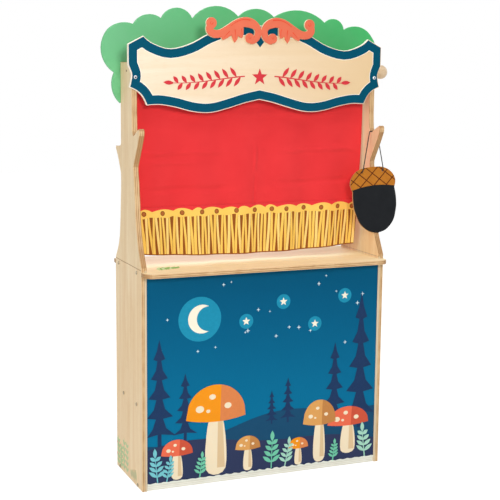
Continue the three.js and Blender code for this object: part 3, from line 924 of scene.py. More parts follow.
def keep(piece: bpy.types.Object, body: str, slot: str, *stands_for: str) -> None:
    """Seats a piece on its body, hides the nodes that it replaces and reports it.

    Args:
        piece: The piece.
        body: Body that it moves with.
        slot: Not used.
        *stands_for: CAD nodes that it replaces.
    """
    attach(piece, body)
    if stands_for:
        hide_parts(*stands_for)
    LOG.info("%s rides on %s%s", piece.name, body, f" for {', '.join(stands_for)}" if stands_for else "")


def dress(nodes: Nodes, finish: Finish, *endings: str) -> None:
    """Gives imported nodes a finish.

    Args:
        nodes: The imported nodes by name.
        finish: Their finish.
        *endings: Their whole names, or what the names of several end in.
    """
    material = finish.material()
    for name in (name for name in nodes if name.endswith(endings)):
        for slot in nodes[name].material_slots:
            slot.material = material
        LOG.info("%s in %s", name, finish.name)


@dataclass
class Studio:
    """Camera, white sweep and soft lamps, with places in metres and angles in degrees."""

    lens: float = 86.89
    sensor: float = 36.0
    place: Spot = (-1.3057, -3.1277, 1.1691)
    yaw: float = 22.6275
    pitch: float = -9.0287
    roll: float = 0.561
    ambient: float = 0.35
    # Name, place, size and power of each softbox
    lamps: tuple[tuple[str, Spot, float, float], ...] = (
        ("key_softbox", (-0.6, -3.0, 1.8), 0.6, 42.0),
        ("left_softbox", (-2.9, -1.3, 1.7), 1.8, 24.0),
        ("right_softbox", (2.9, 0.6, 1.7), 1.8, 18.0),
        ("top_softbox", (0.0, -0.9, 3.3), 2.4, 32.0),
        ("back_softbox", (0.3, 2.6, 2.2), 2.0, 38.0),
    )
    target: Spot = (0.0, 0.0, 0.6)
    # The sweep reaches 9 m each way, half a millimetre under the feet
    reach: float = 9.0
    floor_level: float = -0.0005

    def camera(self) -> None:
        """Sets the camera where the photograph was taken from."""
        yaw, pitch, roll = (math.radians(angle) for angle in (self.yaw, self.pitch, self.roll))
        forward = Vector((math.sin(yaw) * math.cos(pitch), math.cos(yaw) * math.cos(pitch), math.sin(pitch)))
        right = Vector((math.cos(yaw), -math.sin(yaw), 0.0))
        up = right.cross(forward)
        turned_right = right * math.cos(roll) + up * math.sin(roll)
        turned_up = up * math.cos(roll) - right * math.sin(roll)
        camera = bpy.data.objects.new("camera", bpy.data.cameras.new("camera"))
        camera.data.lens = self.lens
        camera.data.sensor_width = self.sensor
        camera.data.sensor_fit = "HORIZONTAL"
        turn = Matrix((turned_right, turned_up, -forward)).transposed().to_4x4()
        camera.matrix_world = Matrix.Translation(self.place) @ turn
        bpy.context.scene.collection.objects.link(camera)
        bpy.context.scene.camera = camera

    def floor(self) -> None:
        """Lays the white sweep."""
        mesh = bmesh.new()
        turns = ((-1, -1), (1, -1), (1, 1), (-1, 1))
        mesh.faces.new([mesh.verts.new((x * self.reach, y * self.reach, self.floor_level)) for x, y in turns])
        finish_mesh(mesh, "white_sweep", [SweepFloor("white_paper_sweep")])

    def light(self) -> None:
        """Hangs the softboxes and lights the room."""
        for name, place, size, power in self.lamps:
            lamp = bpy.data.lights.new(name, "AREA")
            lamp.size = size
            lamp.energy = power
            softbox = bpy.data.objects.new(name, lamp)
            turn = (Vector(self.target) - Vector(place)).to_track_quat("-Z", "Y").to_matrix().to_4x4()
            softbox.matrix_world = Matrix.Translation(place) @ turn
            bpy.context.scene.collection.objects.link(softbox)
        world = bpy.data.worlds.new("studio")
        world.use_nodes = True
        graph = Graph(world.node_tree)
        room, seen = (graph.add("Background", {"Color": WHITE, "Strength": s}).outputs[0] for s in (self.ambient, 1.0))
        mixed = graph.add("MixShader", {0: graph.seen(), 1: room, 2: seen}).outputs[0]
        graph.add("OutputWorld", {"Surface": mixed})
        bpy.context.scene.world = world
        bpy.context.scene.view_settings.view_transform = "Standard"


@dataclass
class AcornBoard:
    """Chalkboard cut as an acorn, on a cord over the right branch."""

    # Bottom of the branch's crotch, which the board swings about, and the board's middle from there
    pivot: Spot = (355.0, -54.0, 965.71)
    board: Spot = (-12.5, -16.5083, -101.0)
    lean: float = 6.7196
    roll: float = 4.5
    thickness: float = 6.0
    diameter: float = 2.8
    steps: int = 8
    # The cord's centreline from the pivot, out of the left hole, over the crotch and into the right hole
    route: tuple[Spot, ...] = (
        (-45.3, -15.61, -117.35), (-45.3, -18.39, -117.01), (-45.3, -21.38, -116.66), (-44.8, -24.72, -114.79),
        (-43.6, -25.76, -111.11), (-38.2, -22.1, -92), (-33.2, -18.06, -75), (-27.65, -13.55, -56),
        (-22.2, -9.15, -37.5), (-16.81, -4.76, -19), (-14.18, -2.62, -10), (-12.3, -1.1, -3.6),
        (-11.83, -0.7, -2.5), (-10, -0.25, -0.67), (-7.5, 0, 0), (-4, 0, 0), (0, 0, 0), (4, 0, 0), (7.5, 0, 0),
        (10, -0.3, -0.67), (11.83, -0.8, -2.5), (12.4, -1.3, -4.4), (12.92, -2.65, -10), (13.76, -4.8, -19),
        (15.5, -9.25, -37.5), (17.2, -13.7, -56), (19, -18.3, -75), (20.55, -22.3, -92),
        (21.8, -25.13, -105.81), (22.2, -24.09, -109.48), (22.45, -20.75, -111.37), (22.45, -17.77, -111.72),
        (22.45, -14.99, -112.04),
    )

    def cord_line(self) -> list[Vector]:
        """Runs the cord's centreline through its route.

        Returns:
            Points in metres.
        """
        points = [(Vector(self.pivot) + Vector(point)) * MM for point in self.route]
        ends = [points[0], *points, points[-1]]
        run = []
        for four in zip(*(ends[k:] for k in range(4))):
            knots = [0.0]
            for start, end in zip(four, four[1:]):
                knots.append(knots[-1] + max((end - start).length, 1e-5) ** 0.5)
            for step in range(self.steps):
                run.append(self.blend(four, knots, knots[1] + (knots[2] - knots[1]) * step / self.steps))
        return [*run, points[-1]]

    @staticmethod
    def blend(points: Sequence[Vector], knots: Sequence[float], t: float) -> Vector:
        """Blends four points to one of a centripetal curve.

        Args:
            points: The four points.
            knots: Their knot values.
            t: Knot value of the point that is wanted.

        Returns:
            That point.
        """
        level = points
        for spans in (((0, 1), (1, 2), (2, 3)), ((0, 2), (1, 3)), ((1, 2),)):
            shares = [(t - knots[start]) / (knots[end] - knots[start]) for start, end in spans]
            level = [low.lerp(high, share) for low, high, share in zip(level, level[1:], shares)]
        return level[0]

    def cord(self) -> None:
        """Strings the cord from the left hole over the branch to the right one."""
        line = self.cord_line()
        curve = bpy.data.curves.new("hanging_cord", "CURVE")
        curve.dimensions = "3D"
        curve.bevel_depth = self.diameter / 2 * MM
        curve.bevel_resolution = 5
        curve.use_fill_caps = True
        spline = curve.splines.new("POLY")
        spline.points.add(len(line) - 1)
        for point, place in zip(spline.points, line):
            point.co = (*place, 1.0)
        curve.materials.append(BraidedCord("black_braided_cord").material())
        piece = bpy.data.objects.new("hanging_cord", curve)
        bpy.context.scene.collection.objects.link(piece)
        keep(piece, "acorn", "black_cord", "acorn_cord")
        length = sum((b - a).length for a, b in zip(line, line[1:]))
        tuple(line[0])
        LOG.info("cord is %.0f mm long", length / MM)

    def build(self, nodes: Nodes) -> None:
        """Paints the board and dresses the knots.

        Args:
            nodes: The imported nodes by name.
        """
        turn = Matrix.Rotation(math.pi / 2 - math.radians(self.lean), 3, "X")
        turn = turn @ Matrix.Rotation(math.radians(self.roll), 3, "Z")
        place = tuple((Vector(self.pivot) + Vector(self.board)) * MM)
        space = BoardSpace(Axis.Y, Axis.X, Axis.Z, -self.thickness / 2, place, tuple(turn.to_euler("XYZ")))
        dress(nodes, AcornPaint("acorn_chalkboard_paint", space), "acorn_board")
        dress(nodes, BraidedCord("black_braided_cord"), "_cord_knot")


class CapPaint(Enum):
    """Light, deep and shaded tone of a toadstool's cap."""

    ORANGE = ("#f1981f", "#ee8f1c", "#d9824c")
    CORAL = ("#e86f51", "#e5684a", "#c9553d")
    TAN = ("#dda35f", "#d99b55", "#bf8248")


class SprigGreen(Enum):
    """Both tones of a sprig's ink."""

    MINT = ("#76c9a9", "#6cc09f")
    PALE_MINT = ("#a9d9c4", "#9fd0ba")
    TEAL_LEAF = ("#7bc8cf", "#70bec6")


@dataclass
class NightGarden:
    """Artwork of the front panel: moon, stars, hills, conifers, toadstools and sprigs."""

    front_face: float = -117.0
    edge: float = 347.3
    low: float = 15.4
    high: float = 593.4
    # Middle of the moon's halo, and the radius round it that stays free of stars
    moon: Flat = (-196.0, 468.0)
    clear: float = 75.0
    halo: float = 62.0
    # The crescent is a disc less a smaller one: how far right of the halo's middle each is, and its radius
    moon_disc: Flat = (6.0, 40.0)
    moon_bite: Flat = (26.0, 35.0)
    bite_height: float = 34.6
    star_count: int = 22
    # Half the width that the stars are spread over, and their lowest and highest level
    star_edge: float = 320.0
    star_span: Flat = (360.0, 570.0)
    star_reach: Flat = (3.5, 7.5)
    glowing_stars: tuple[Flat, ...] = ((-60.0, 452.0), (52.0, 500.0), (150.0, 430.0), (243.0, 505.0))
    # Radii of a glowing star's disc and of the star on it
    glow: Flat = (21.0, 12.0)
    # Middle height, rise and phase of both hills, and the lengths of the waves that shape them
    far_hill: Spot = (150.0, 34.0, 0.6)
    near_hill: Spot = (96.0, 26.0, 2.4)
    waves: Flat = (210.0, 74.0)
    # Place across, foot, height and width of each conifer
    conifers: tuple[tuple[float, float, float, float], ...] = (
        (-312.0, 120.0, 300.0, 92.0), (-238.0, 130.0, 190.0, 70.0), (298.0, 110.0, 400.0, 104.0),
        (216.0, 120.0, 250.0, 80.0), (70.0, 150.0, 130.0, 50.0), (20.0, 150.0, 96.0, 40.0),
    )
    tiers: int = 5
    # Shares of a conifer's size: half width and height of its trunk, then the foot and the taper of its tiers
    trunk: Flat = (0.06, 0.12)
    tier_foot: float = 0.1
    taper: float = 0.8
    # Width and height of a tier's waist and of its neck, as shares of the tier's
    tier_waist: Flat = (0.42, 0.45)
    tier_neck: Flat = (0.22, 0.92)
    # Cap's paint, place across, foot, height and width of each toadstool
    toadstools: tuple[tuple[CapPaint, float, float, float, float], ...] = (
        (CapPaint.CORAL, 262.0, 46.0, 128.0, 132.0),
        (CapPaint.ORANGE, -148.0, 40.0, 236.0, 176.0),
        (CapPaint.TAN, 170.0, 34.0, 168.0, 104.0),
        (CapPaint.CORAL, -262.0, 30.0, 104.0, 92.0),
        (CapPaint.ORANGE, 104.0, 26.0, 74.0, 62.0),
        (CapPaint.TAN, -52.0, 30.0, 92.0, 76.0),
    )
    # Shares of a toadstool's size: level of its neck, half width of its stem and rise of its cap
    proportions: Spot = (0.62, 0.11, 0.4)
    # Where the shaded part of a cap begins, from 0 in the middle to 1 at the rim, and how far the rim bows
    cap_shade: float = 0.18
    cap_bow: float = 0.12
    cap_steps: int = 24
    # Place and size of a cap's spots, as shares of its width and height
    spots: tuple[Spot, ...] = ((-0.27, 0.3, 0.07), (-0.06, 0.64, 0.055), (0.2, 0.34, 0.06), (-0.13, 0.22, 0.035))
    # Ink, place across, height and lean of each sprig, which all stand at one level
    sprigs: tuple[tuple[SprigGreen, float, float, float], ...] = (
        (SprigGreen.MINT, 20.0, 88.0, 3.0),
        (SprigGreen.PALE_MINT, 62.0, 70.0, 14.0),
        (SprigGreen.TEAL_LEAF, -318.0, 78.0, -8.0),
        (SprigGreen.TEAL_LEAF, -292.0, 60.0, 12.0),
        (SprigGreen.MINT, -196.0, 60.0, 8.0),
        (SprigGreen.PALE_MINT, 318.0, 84.0, -10.0),
        (SprigGreen.MINT, 214.0, 52.0, 6.0),
    )
    sprig_foot: float = 20.0
    sprig_pairs: int = 4
    # Widths of a sprig's stem at its foot and at its tip
    sprig_stem: Flat = (3.2, 1.6)
    strip_top: float = 19.5

    def build(self) -> bpy.types.Object:
        """Prints the whole picture, each part over the one before.

        Returns:
            The print.
        """
        flat = FlatPrint.upright(self.front_face)
        for draw in (self.draw_sky, self.draw_hills, self.draw_toadstools, self.draw_sprigs):
            draw(flat)
        return flat.build("front_panel_print")

    def ground(self, level: float, crest: float, phase: float) -> list[Flat]:
        """Gives a rolling hill that fills the panel's lower part.

        Args:
            level: Its middle height.
            crest: How far it rises over that.
            phase: Where its waves begin.

        Returns:
            The outline.
        """
        long, short = self.waves
        top = []
        for u in self.leftwards(40):
            top.append((u, level + crest * (math.sin(u / long + phase) + 0.35 * math.sin(u / short + 2 * phase))))
        return [(-self.edge, self.low), (self.edge, self.low), *top]

    def leftwards(self, steps: int) -> list[float]:
        """Gives places from the panel's right edge to its left one."""
        return [self.edge - 2 * self.edge * k / steps for k in range(steps + 1)]

    def draw_sky(self, flat: FlatPrint) -> None:
        """Draws the moon and the stars.

        Args:
            flat: Print that they go on.
        """
        glow = PrintInk("aqua_glow_ink", "#1c86a6", "#228fae")
        cream = PrintInk("moon_cream_ink", "#f4eedb", "#efe6cc")
        pale = PrintInk("star_white_ink", "#d5e6ea", "#c4dbe1")
        x, z = self.moon
        flat.add(glow, Shapes.disc(self.moon, self.halo, 40))
        (shift, radius), (way, bite) = self.moon_disc, self.moon_bite
        outer = Shapes.polar((x + shift, z), [radius] * 25, 36, math.radians(60))
        inner = Shapes.polar((x + way, z), [bite] * 17, -36, math.radians(260), self.bite_height / bite)
        flat.add(cream, outer + inner)
        stars = random.Random(7)
        for k in range(self.star_count):
            across = self.star_edge * (2 * (k + stars.random()) / self.star_count - 1)
            place = (across, stars.uniform(*self.star_span))
            if math.dist(place, self.moon) >= self.clear:
                flat.add(pale, Shapes.star(place, stars.uniform(*self.star_reach)))
        for place in self.glowing_stars:
            flat.add(glow, Shapes.disc(place, self.glow[0]))
            flat.add(cream, Shapes.star(place, self.glow[1], points=5, waist=0.45))

    def draw_hills(self, flat: FlatPrint) -> None:
        """Draws two hills with conifers between them.

        Args:
            flat: Print that they go on.
        """
        tree = PrintInk("conifer_ink", "#1f3659", "#233b60")
        flat.add(PrintInk("far_hill_ink", "#1d4d6e", "#1a4767"), self.ground(*self.far_hill))
        for row in self.conifers:
            flat.add(tree, self.conifer(*row))
        flat.add(PrintInk("near_hill_ink", "#333c5c", "#2f3856"), self.ground(*self.near_hill))

    def conifer(self, u: float, foot: float, height: float, width: float) -> list[Flat]:
        """Gives the outline of a tiered conifer, cut off at the panel's edges.

        Args:
            u: Its place across.
            foot: Level of its foot.
            height: Its height.
            width: Its greatest width.

        Returns:
            The outline.
        """
        half = width * self.trunk[0]
        (waist, middle), (neck, top) = self.tier_waist, self.tier_neck
        right = [(u + half, foot), (u + half, foot + height * self.trunk[1])]
        for k in range(self.tiers):
            reach = width / 2 * (1 - self.taper * k / self.tiers)
            levels = (self.tier_foot + (1 - self.tier_foot) * (k + part) / self.tiers for part in (0.0, top))
            low, high = (foot + height * level for level in levels)
            right += [(u + reach, low), (u + reach * waist, low + (high - low) * middle), (u + reach * neck, high)]
        right[-1] = (u, foot + height)
        left = [(2 * u - a, b) for a, b in reversed(right[:-1])]
        return [(clamp(a, -self.edge, self.edge), min(b, self.high)) for a, b in right + left]

    def draw_toadstools(self, flat: FlatPrint) -> None:
        """Draws toadstools of three colours on the near hill.

        Args:
            flat: Print that they go on.
        """
        stem = PrintInk("stem_cream_ink", "#f3e4c6", "#ecd8b4")
        stem_shade = PrintInk("stem_shade_ink", "#dfc39a", "#d9ba8e")
        for paint, u, foot, height, width in self.toadstools:
            kind, (light, deep, shade) = paint.name.lower(), paint.value
            inks = (PrintInk(f"{kind}_cap_ink", light, deep), PrintInk(f"{kind}_shade_ink", shade))
            neck, half, rise = (share * size for share, size in zip(self.proportions, (height, width, height)))
            neck += foot
            post = [(u - half * 1.5, foot), (u + half * 1.5, foot), (u + half, neck), (u - half, neck)]
            flat.add(stem, Shapes.curve(post, 5, True))
            low = foot + 2
            shaded = [(u + half * 0.2, low), (u + half * 1.4, low), (u + half, neck), (u + half * 0.3, neck)]
            flat.add(stem_shade, shaded)
            for ink, start in zip(inks, (-1.0, self.cap_shade)):
                flat.add(ink, self.cap(u, neck, rise, width, start))
            for a, b, size in self.spots:
                flat.add(stem, Shapes.disc((u + a * width, neck + b * rise), size * width, 18, 0.8))

    def cap(self, u: float, base: float, rise: float, width: float, start: float) -> list[Flat]:
        """Gives the right part of a toadstool's cap.

        Args:
            u: Place of its middle across.
            base: Level of its rim.
            rise: Its height over the rim.
            width: Its whole width.
            start: Where the part begins, from -1 at the left rim to 1 at the right one.

        Returns:
            The outline.
        """
        shares = [start + (1.0 - start) * k / self.cap_steps for k in range(self.cap_steps + 1)]
        over = [(u + s * width / 2, base + rise * math.sqrt(max(1 - s * s, 0.0)) ** 0.9) for s in shares]
        under = [(u + s * width / 2, base - rise * self.cap_bow * (1 - s * s)) for s in reversed(shares[1:-1])]
        if start > -1.0:
            under.append((u + start * width / 2 - 0.02 * width, base - rise * self.cap_bow))
        return over + under

    def draw_sprigs(self, flat: FlatPrint) -> None:
        """Draws leafy sprigs along the ground and the pale strip under them.

        Args:
            flat: Print that they go on.
        """
        for green, u, height, lean in self.sprigs:
            ink = PrintInk(f"{green.name.lower()}_ink", *green.value)

            def up(share: float) -> Flat:
                """Gives a place on the stem, at a share of its height."""
                return u + lean * share, self.sprig_foot + height * share

            flat.add(ink, Shapes.stroke([up(0.0), up(0.5), up(1.0)], *self.sprig_stem))
            for k in range(self.sprig_pairs):
                root = up(0.2 + 0.2 * k)
                reach = height * (0.3 - 0.035 * k)
                for side in (-1, 1):
                    end = (clamp(root[0] + side * reach, -self.edge, self.edge), root[1] + reach * 0.75)
                    flat.add(ink, Shapes.leaf(root, end, height * 0.13))
            tip = up(1.0)
            flat.add(ink, Shapes.leaf(up(0.9), (tip[0], tip[1] + height * 0.25), height * 0.14))
        wavy = []
        for k, u in enumerate(self.leftwards(90)):
            wavy.append((u, self.strip_top + 1.6 * math.sin(k * 1.9) + 0.8 * math.sin(k * 4.3)))
        strip = [(-self.edge, self.low), (self.edge, self.low), *wavy]
        flat.add(PrintInk("ground_cream_ink", "#ebece0", "#e4e6d9"), strip)


@dataclass
class Cabinet:
    """Two side panels, the counter, the shelf, the bottom board and the printed front panel."""

    counter_top: float = 606.0
    # First blade of the counter's print: how far in, and the step to the next
    blade_root: Flat = (-306.0, -101.0)
    blade_step: Flat = (7.0, 2.0)
    blade_width: float = 15.0
    # Sprays on the left panel: how many, place of the first along Y, the way to the next, foot and middle height
    spray_count: int = 4
    spray_root: float = 20.0
    spray_step: float = 27.0
    spray_foot: float = 4.0
    spray_height: float = 82.0
    # Radius and heights of the buds beside each spray
    bud: float = 3.6
    bud_levels: Flat = (38.0, 71.0)

    def build(self, nodes: Nodes) -> None:
        """Dresses the boards and prints the front panel, the counter and the left side.

        Args:
            nodes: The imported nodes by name.
        """
        for side, sign in (("left", -1), ("right", 1)):
            space = BoardSpace(Axis.Z, Axis.Y, Axis.X, sign * SIDE_FACE)
            panel = SandedBirchPlywood(f"birch_plywood_{side}_panel", space, inner_edge="#d2bf9f")
            dress(nodes, panel, f"{side}_side_panel")
        level = BoardSpace(Axis.X, Axis.Y, Axis.Z, self.counter_top)
        counter = SandedBirchPlywood("birch_plywood_counter", level, light="#f2e3ba", dark="#ebd4a2")
        dress(nodes, counter, "counter_board", "shelf_board")
        pale = {"edge_light": "#eeece0", "edge_dark": "#dcd9c8", "fibre": "#d9c6a2"}
        dress(nodes, SandedBirchPlywood("birch_plywood_foot", level, **pale), "bottom_board")
        garden = NightGarden()
        face = BoardSpace(Axis.Z, Axis.X, Axis.Y, garden.front_face)
        dress(nodes, NightSkyPanel("blue_printed_panel", face), "front_panel")
        dress(nodes, PlatedSteel("yellow_zinc_plated_steel", colour="#b7a78c", deep="#94866c"), "_bolt")
        dress(nodes, PlatedSteel("machined_brass", colour="#c9a55a", deep="#a8843e", rough=0.35), "_insert")
        for piece in (garden.build(), self.leaf_print(), self.side_print()):
            keep(piece, "stand", "printed_panel")

    def leaf_print(self) -> bpy.types.Object:
        """Prints a small spray of grass blades on the counter.

        Returns:
            The print.
        """
        green = PrintInk("leaf_green_ink", "#86b45c", "#96be6c")
        light = PrintInk("young_leaf_ink", "#bcd79a", "#cbe0ae")
        flat = FlatPrint(lambda u, v, h: Vector((u, v, self.counter_top + h)) * MM)
        for k, ink in enumerate((light, green, light, green, green, light, green, green)):
            root = [start + step * k for start, step in zip(self.blade_root, self.blade_step)]
            flat.add(ink, Shapes.leaf(root, (root[0] + 16 + 4 * (k % 2), root[1] + 50 - 3 * k), self.blade_width))
        return flat.build("counter_leaf_print")

    def side_print(self) -> bpy.types.Object:
        """Prints faint leaf sprays low on the left panel's outer face.

        Returns:
            The print.
        """
        leaf = PrintInk("faded_leaf_ink", "#c0d2a6", "#b2ca9c")
        grey = PrintInk("faded_grey_leaf_ink", "#cdc9a4", "#c3c09a")
        bud = PrintInk("faded_pink_ink", "#ecc5ae", "#e8bda6")
        flat = FlatPrint(lambda u, v, h: Vector((-SIDE_FACE - h, u, v)) * MM)
        for k in range(self.spray_count):
            foot = self.spray_root + self.spray_step * k
            height = self.spray_height + 16 * math.sin(1.9 * k + 0.6)
            flat.add(leaf, Shapes.leaf((foot, self.spray_foot), (foot + 2, 12.0 + height), 5.0))
            for pair in range(5):
                rise = self.spray_foot + height * (0.1 + 0.19 * pair)
                for side in (-1, 1):
                    flat.add(leaf, Shapes.leaf((foot, rise), (foot + side * 12.5, rise + 12), 8.0))
            for level in self.bud_levels:
                flat.add(bud, Shapes.disc((foot + self.spray_step / 2, level + 6 * math.sin(k)), self.bud, 14))
        for k in range(4):
            root = (-66.0 + 14 * k, 12.0)
            flat.add(grey, Shapes.leaf(root, (root[0] + 5, 44.0 - 4 * k), 13.0))
        return flat.build("side_leaf_print")


@dataclass
class Posts:
    """Two tree-shaped posts with their dowels."""

    light: str = "#f1dab3"
    dark: str = "#e5c696"

    def build(self, nodes: Nodes) -> None:
        """Dresses the posts and dowels.

        Args:
            nodes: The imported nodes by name.
        """
        for side, sign in (("left", -1), ("right", 1)):
            space = BoardSpace(Axis.Z, Axis.Y, Axis.X, sign * SIDE_FACE)
            finish = SandedBirchPlywood(f"birch_plywood_{side}_post", space, light=self.light, dark=self.dark)
            dress(nodes, finish, f"{side}_tree_post")
        dress(nodes, TurnedBeech("beech_dowel"), "_dowel")


@dataclass
class SignFront:
    """Sign board with its printed border, its ornament and their screws."""

    front: float = -52.3
    rim: float = 0.9
    border: float = 24.0
    liner: float = 1.5
    # Half the way between the sign's screws, and their height
    screws: Flat = (355.0, 1117.0)
    star: Flat = (0.0, 1118.0)
    star_reach: float = 24.0
    # Each half of the garland: level, swing and length of its wave, from and to across, and its leaves' size
    garland_wave: Spot = (1112.0, 10.0, 75.0)
    garland_span: tuple[int, int] = (44, 250)
    garland_step: int = 12
    garland_leaf: Flat = (27.0, 10.5)
    # Blue patch that shows between the two halves of the ornament
    patch: tuple[Flat, ...] = ((0.0, 1198.5), (12.0, 1213.0), (5.0, 1228.0), (-5.0, 1228.0), (-12.0, 1213.0))
    scroll_front: float = -61.6
    scroll_width: float = 330.0
    scroll_height: float = 76.0
    scroll_bottom: float = 1206.0
    # Lines on each half of the ornament: shares of its size across and up, then the widths at both ends
    strokes: tuple[tuple[tuple[Flat, ...], float, float], ...] = (
        (((0.55, 0.63), (0.47, 0.75), (0.38, 0.84), (0.29, 0.87), (0.2, 0.855)), 1.2, 3.4),
        (((0.665, 0.22), (0.62, 0.33), (0.565, 0.45)), 0.8, 2.6),
        (((0.464, 0.2), (0.463, 0.34), (0.47, 0.52)), 0.8, 2.8),
        (((0.345, 0.3), (0.348, 0.42), (0.36, 0.55)), 0.8, 2.2),
        (((0.85, 0.74), (0.872, 0.68), (0.9, 0.72), (0.886, 0.79)), 2.2, 1.0),
        (((0.185, 0.26), (0.2, 0.2), (0.225, 0.24), (0.214, 0.29)), 1.8, 0.8),
    )

    def outline(self, board: bpy.types.Object) -> list[Flat]:
        """Reads the outline of the sign's front from its packed board.

        Args:
            board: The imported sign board.

        Returns:
            Points of its outer edge in mm.
        """
        mesh = bmesh.new()
        mesh.from_mesh(board.data)
        bmesh.ops.remove_doubles(mesh, verts=mesh.verts, dist=1e-6)
        limit = min(vert.co.y for vert in mesh.verts) + 1e-5
        links: dict[int, list[int]] = {}
        for edge in mesh.edges:
            if any(vert.co.y > limit for vert in edge.verts):
                continue
            if sum(all(vert.co.y < limit for vert in face.verts) for face in edge.link_faces) == 1:
                a, b = (vert.index for vert in edge.verts)
                links.setdefault(a, []).append(b)
                links.setdefault(b, []).append(a)
        mesh.verts.ensure_lookup_table()
        loops = []
        while links:
            here, run = next(iter(links)), []
            while here in links:
                run.append((mesh.verts[here].co.x / MM, mesh.verts[here].co.z / MM))
                here = next((k for k in links.pop(here) if k in links), None)
            loops.append(run)
        mesh.free()
        return max(loops, key=lambda loop: max(p[0] for p in loop) - min(p[0] for p in loop))

    def build(self, nodes: Nodes) -> None:
        """Dresses the sign, the ornament and the screws, and lays the prints.

        Args:
            nodes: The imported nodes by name.
        """
        face = BoardSpace(Axis.X, Axis.Z, Axis.Y, self.front)
        # The face gets a painted shade, darker and warmer towards its right end
        tones = {"light": "#efe0ca", "dark": "#e8d3b5", "fibre": "#d8bc95", "shaded_end": "#dcbd90"}
        # The bare edges are pale ply, made paler still as a painted highlight of the rim that catches the light
        edges = {"edge_light": "#fdf9f0", "edge_dark": "#eadcc4", "end_grain": "#f4ead6"}
        dress(nodes, SandedBirchPlywood("birch_plywood_sign", face, **tones, **edges), "sign_board")
        scroll = BoardSpace(Axis.X, Axis.Z, Axis.Y, self.scroll_front)
        tones = {"paint": "#de6d4e", "paint_shaded_end": "#d46447"}
        edges = {"edge_light": "#f6e3c0", "edge_dark": "#ecd3a6", "end_grain": "#f4e2bc"}
        dress(nodes, PaintedPlywood("coral_painted_plywood", scroll, **tones, **edges), "scroll_ornament")
        zinc = {"colour": "#e4e6e8", "deep": "#b9bdc1"}
        dress(nodes, PlatedSteel("zinc_plated_screw", **zinc), "_upper_screw", "_lower_screw")
        dress(nodes, PlatedSteel("zinc_plated_recessed_screw", **zinc, recess=self.screws), "_sign_screw")
        keep(self.border_print(nodes["sign_board"]), "stand", "printed_sign")
        keep(self.accents(), "stand", "coral_paint")

    def border_print(self, board: bpy.types.Object) -> bpy.types.Object:
        """Prints the border, its pale liner, the patch in the middle and the garland.

        Args:
            board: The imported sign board.

        Returns:
            The print.
        """
        blue = PrintInk("deep_blue_ink", "#004960", "#034e66")
        flat = FlatPrint.upright(self.front, film=0.05)
        edge = self.outline(board)
        rim, inner, liner = (Shapes.inset(edge, way) for way in (self.rim, self.border, self.border + self.liner))
        flat.add(PrintInk("liner_white_ink", "#fbf6ea", "#f6efdf"), inner, liner)
        flat.add(blue, rim, inner)
        flat.add(blue, self.patch)
        self.garland(flat, PrintInk("garland_red_ink", "#cf3d45", "#c9353d"))
        return flat.build("sign_print")

    def garland(self, flat: FlatPrint, ink: Finish) -> None:
        """Draws a plain leaf garland with a star in the middle.

        Args:
            flat: Print that it goes on.
            ink: Its ink.
        """
        flat.add(ink, Shapes.star(self.star, self.star_reach, points=5, waist=0.42))
        level, swing, wave = self.garland_wave
        longest, width = self.garland_leaf
        places = range(*self.garland_span, self.garland_step)
        for side in (-1, 1):
            line = [(side * u, level + swing * math.cos(u / wave)) for u in places]
            flat.add(ink, Shapes.stroke(line, 3.4, 1.6))
            for k, (u, v) in enumerate(line[1:-1]):
                reach = longest - 0.6 * k
                up = 1 if k % 2 else -1
                flat.add(ink, Shapes.leaf((u, v), (u + side * reach * 0.75, v + up * reach), width))
            end = line[-1]
            flat.add(ink, Shapes.leaf(end, (end[0] + side * 30, end[1] + 2), 11.0))

    def accents(self) -> bpy.types.Object:
        """Lines the scrolls and leaves with a deeper coral.

        Returns:
            The print.
        """
        deep = PrintInk("deep_coral_ink", "#dd5138", "#d94a33")
        flat = FlatPrint.upright(self.scroll_front, film=0.04)
        for half in (-self.scroll_width / 2, self.scroll_width / 2):
            for shares, start, end in self.strokes:
                line = [(across * half, self.scroll_bottom + up * self.scroll_height) for across, up in shares]
                flat.add(deep, Shapes.stroke(Shapes.curve(line, 5), start, end))
        return flat.build("scroll_lines")


@dataclass
class Canopy:
    """Foliage board behind the posts, painted all over."""

    front: float = 60.3
    # The paint is lighter and greyer at the left, a painted sheen, and deeper at the right, a painted shade
    paint: str = "#6bb882"
    paint_shaded_end: str = "#43b467"

    def build(self, nodes: Nodes) -> None:
        """Paints the foliage.

        Args:
            nodes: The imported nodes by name.
        """
        space = BoardSpace(Axis.X, Axis.Z, Axis.Y, self.front)
        tones = {"paint": self.paint, "paint_shaded_end": self.paint_shaded_end}
        dress(nodes, PaintedPlywood("green_painted_plywood", space, **tones, painted_edge=True), "canopy_board")


class BandInk(IntEnum):
    """Material numbers of the inks on the hem band."""

    GOLD = 0
    BROWN = 1
    BUTTON = 2
    RING = 3
    PALE_GOLD = 4


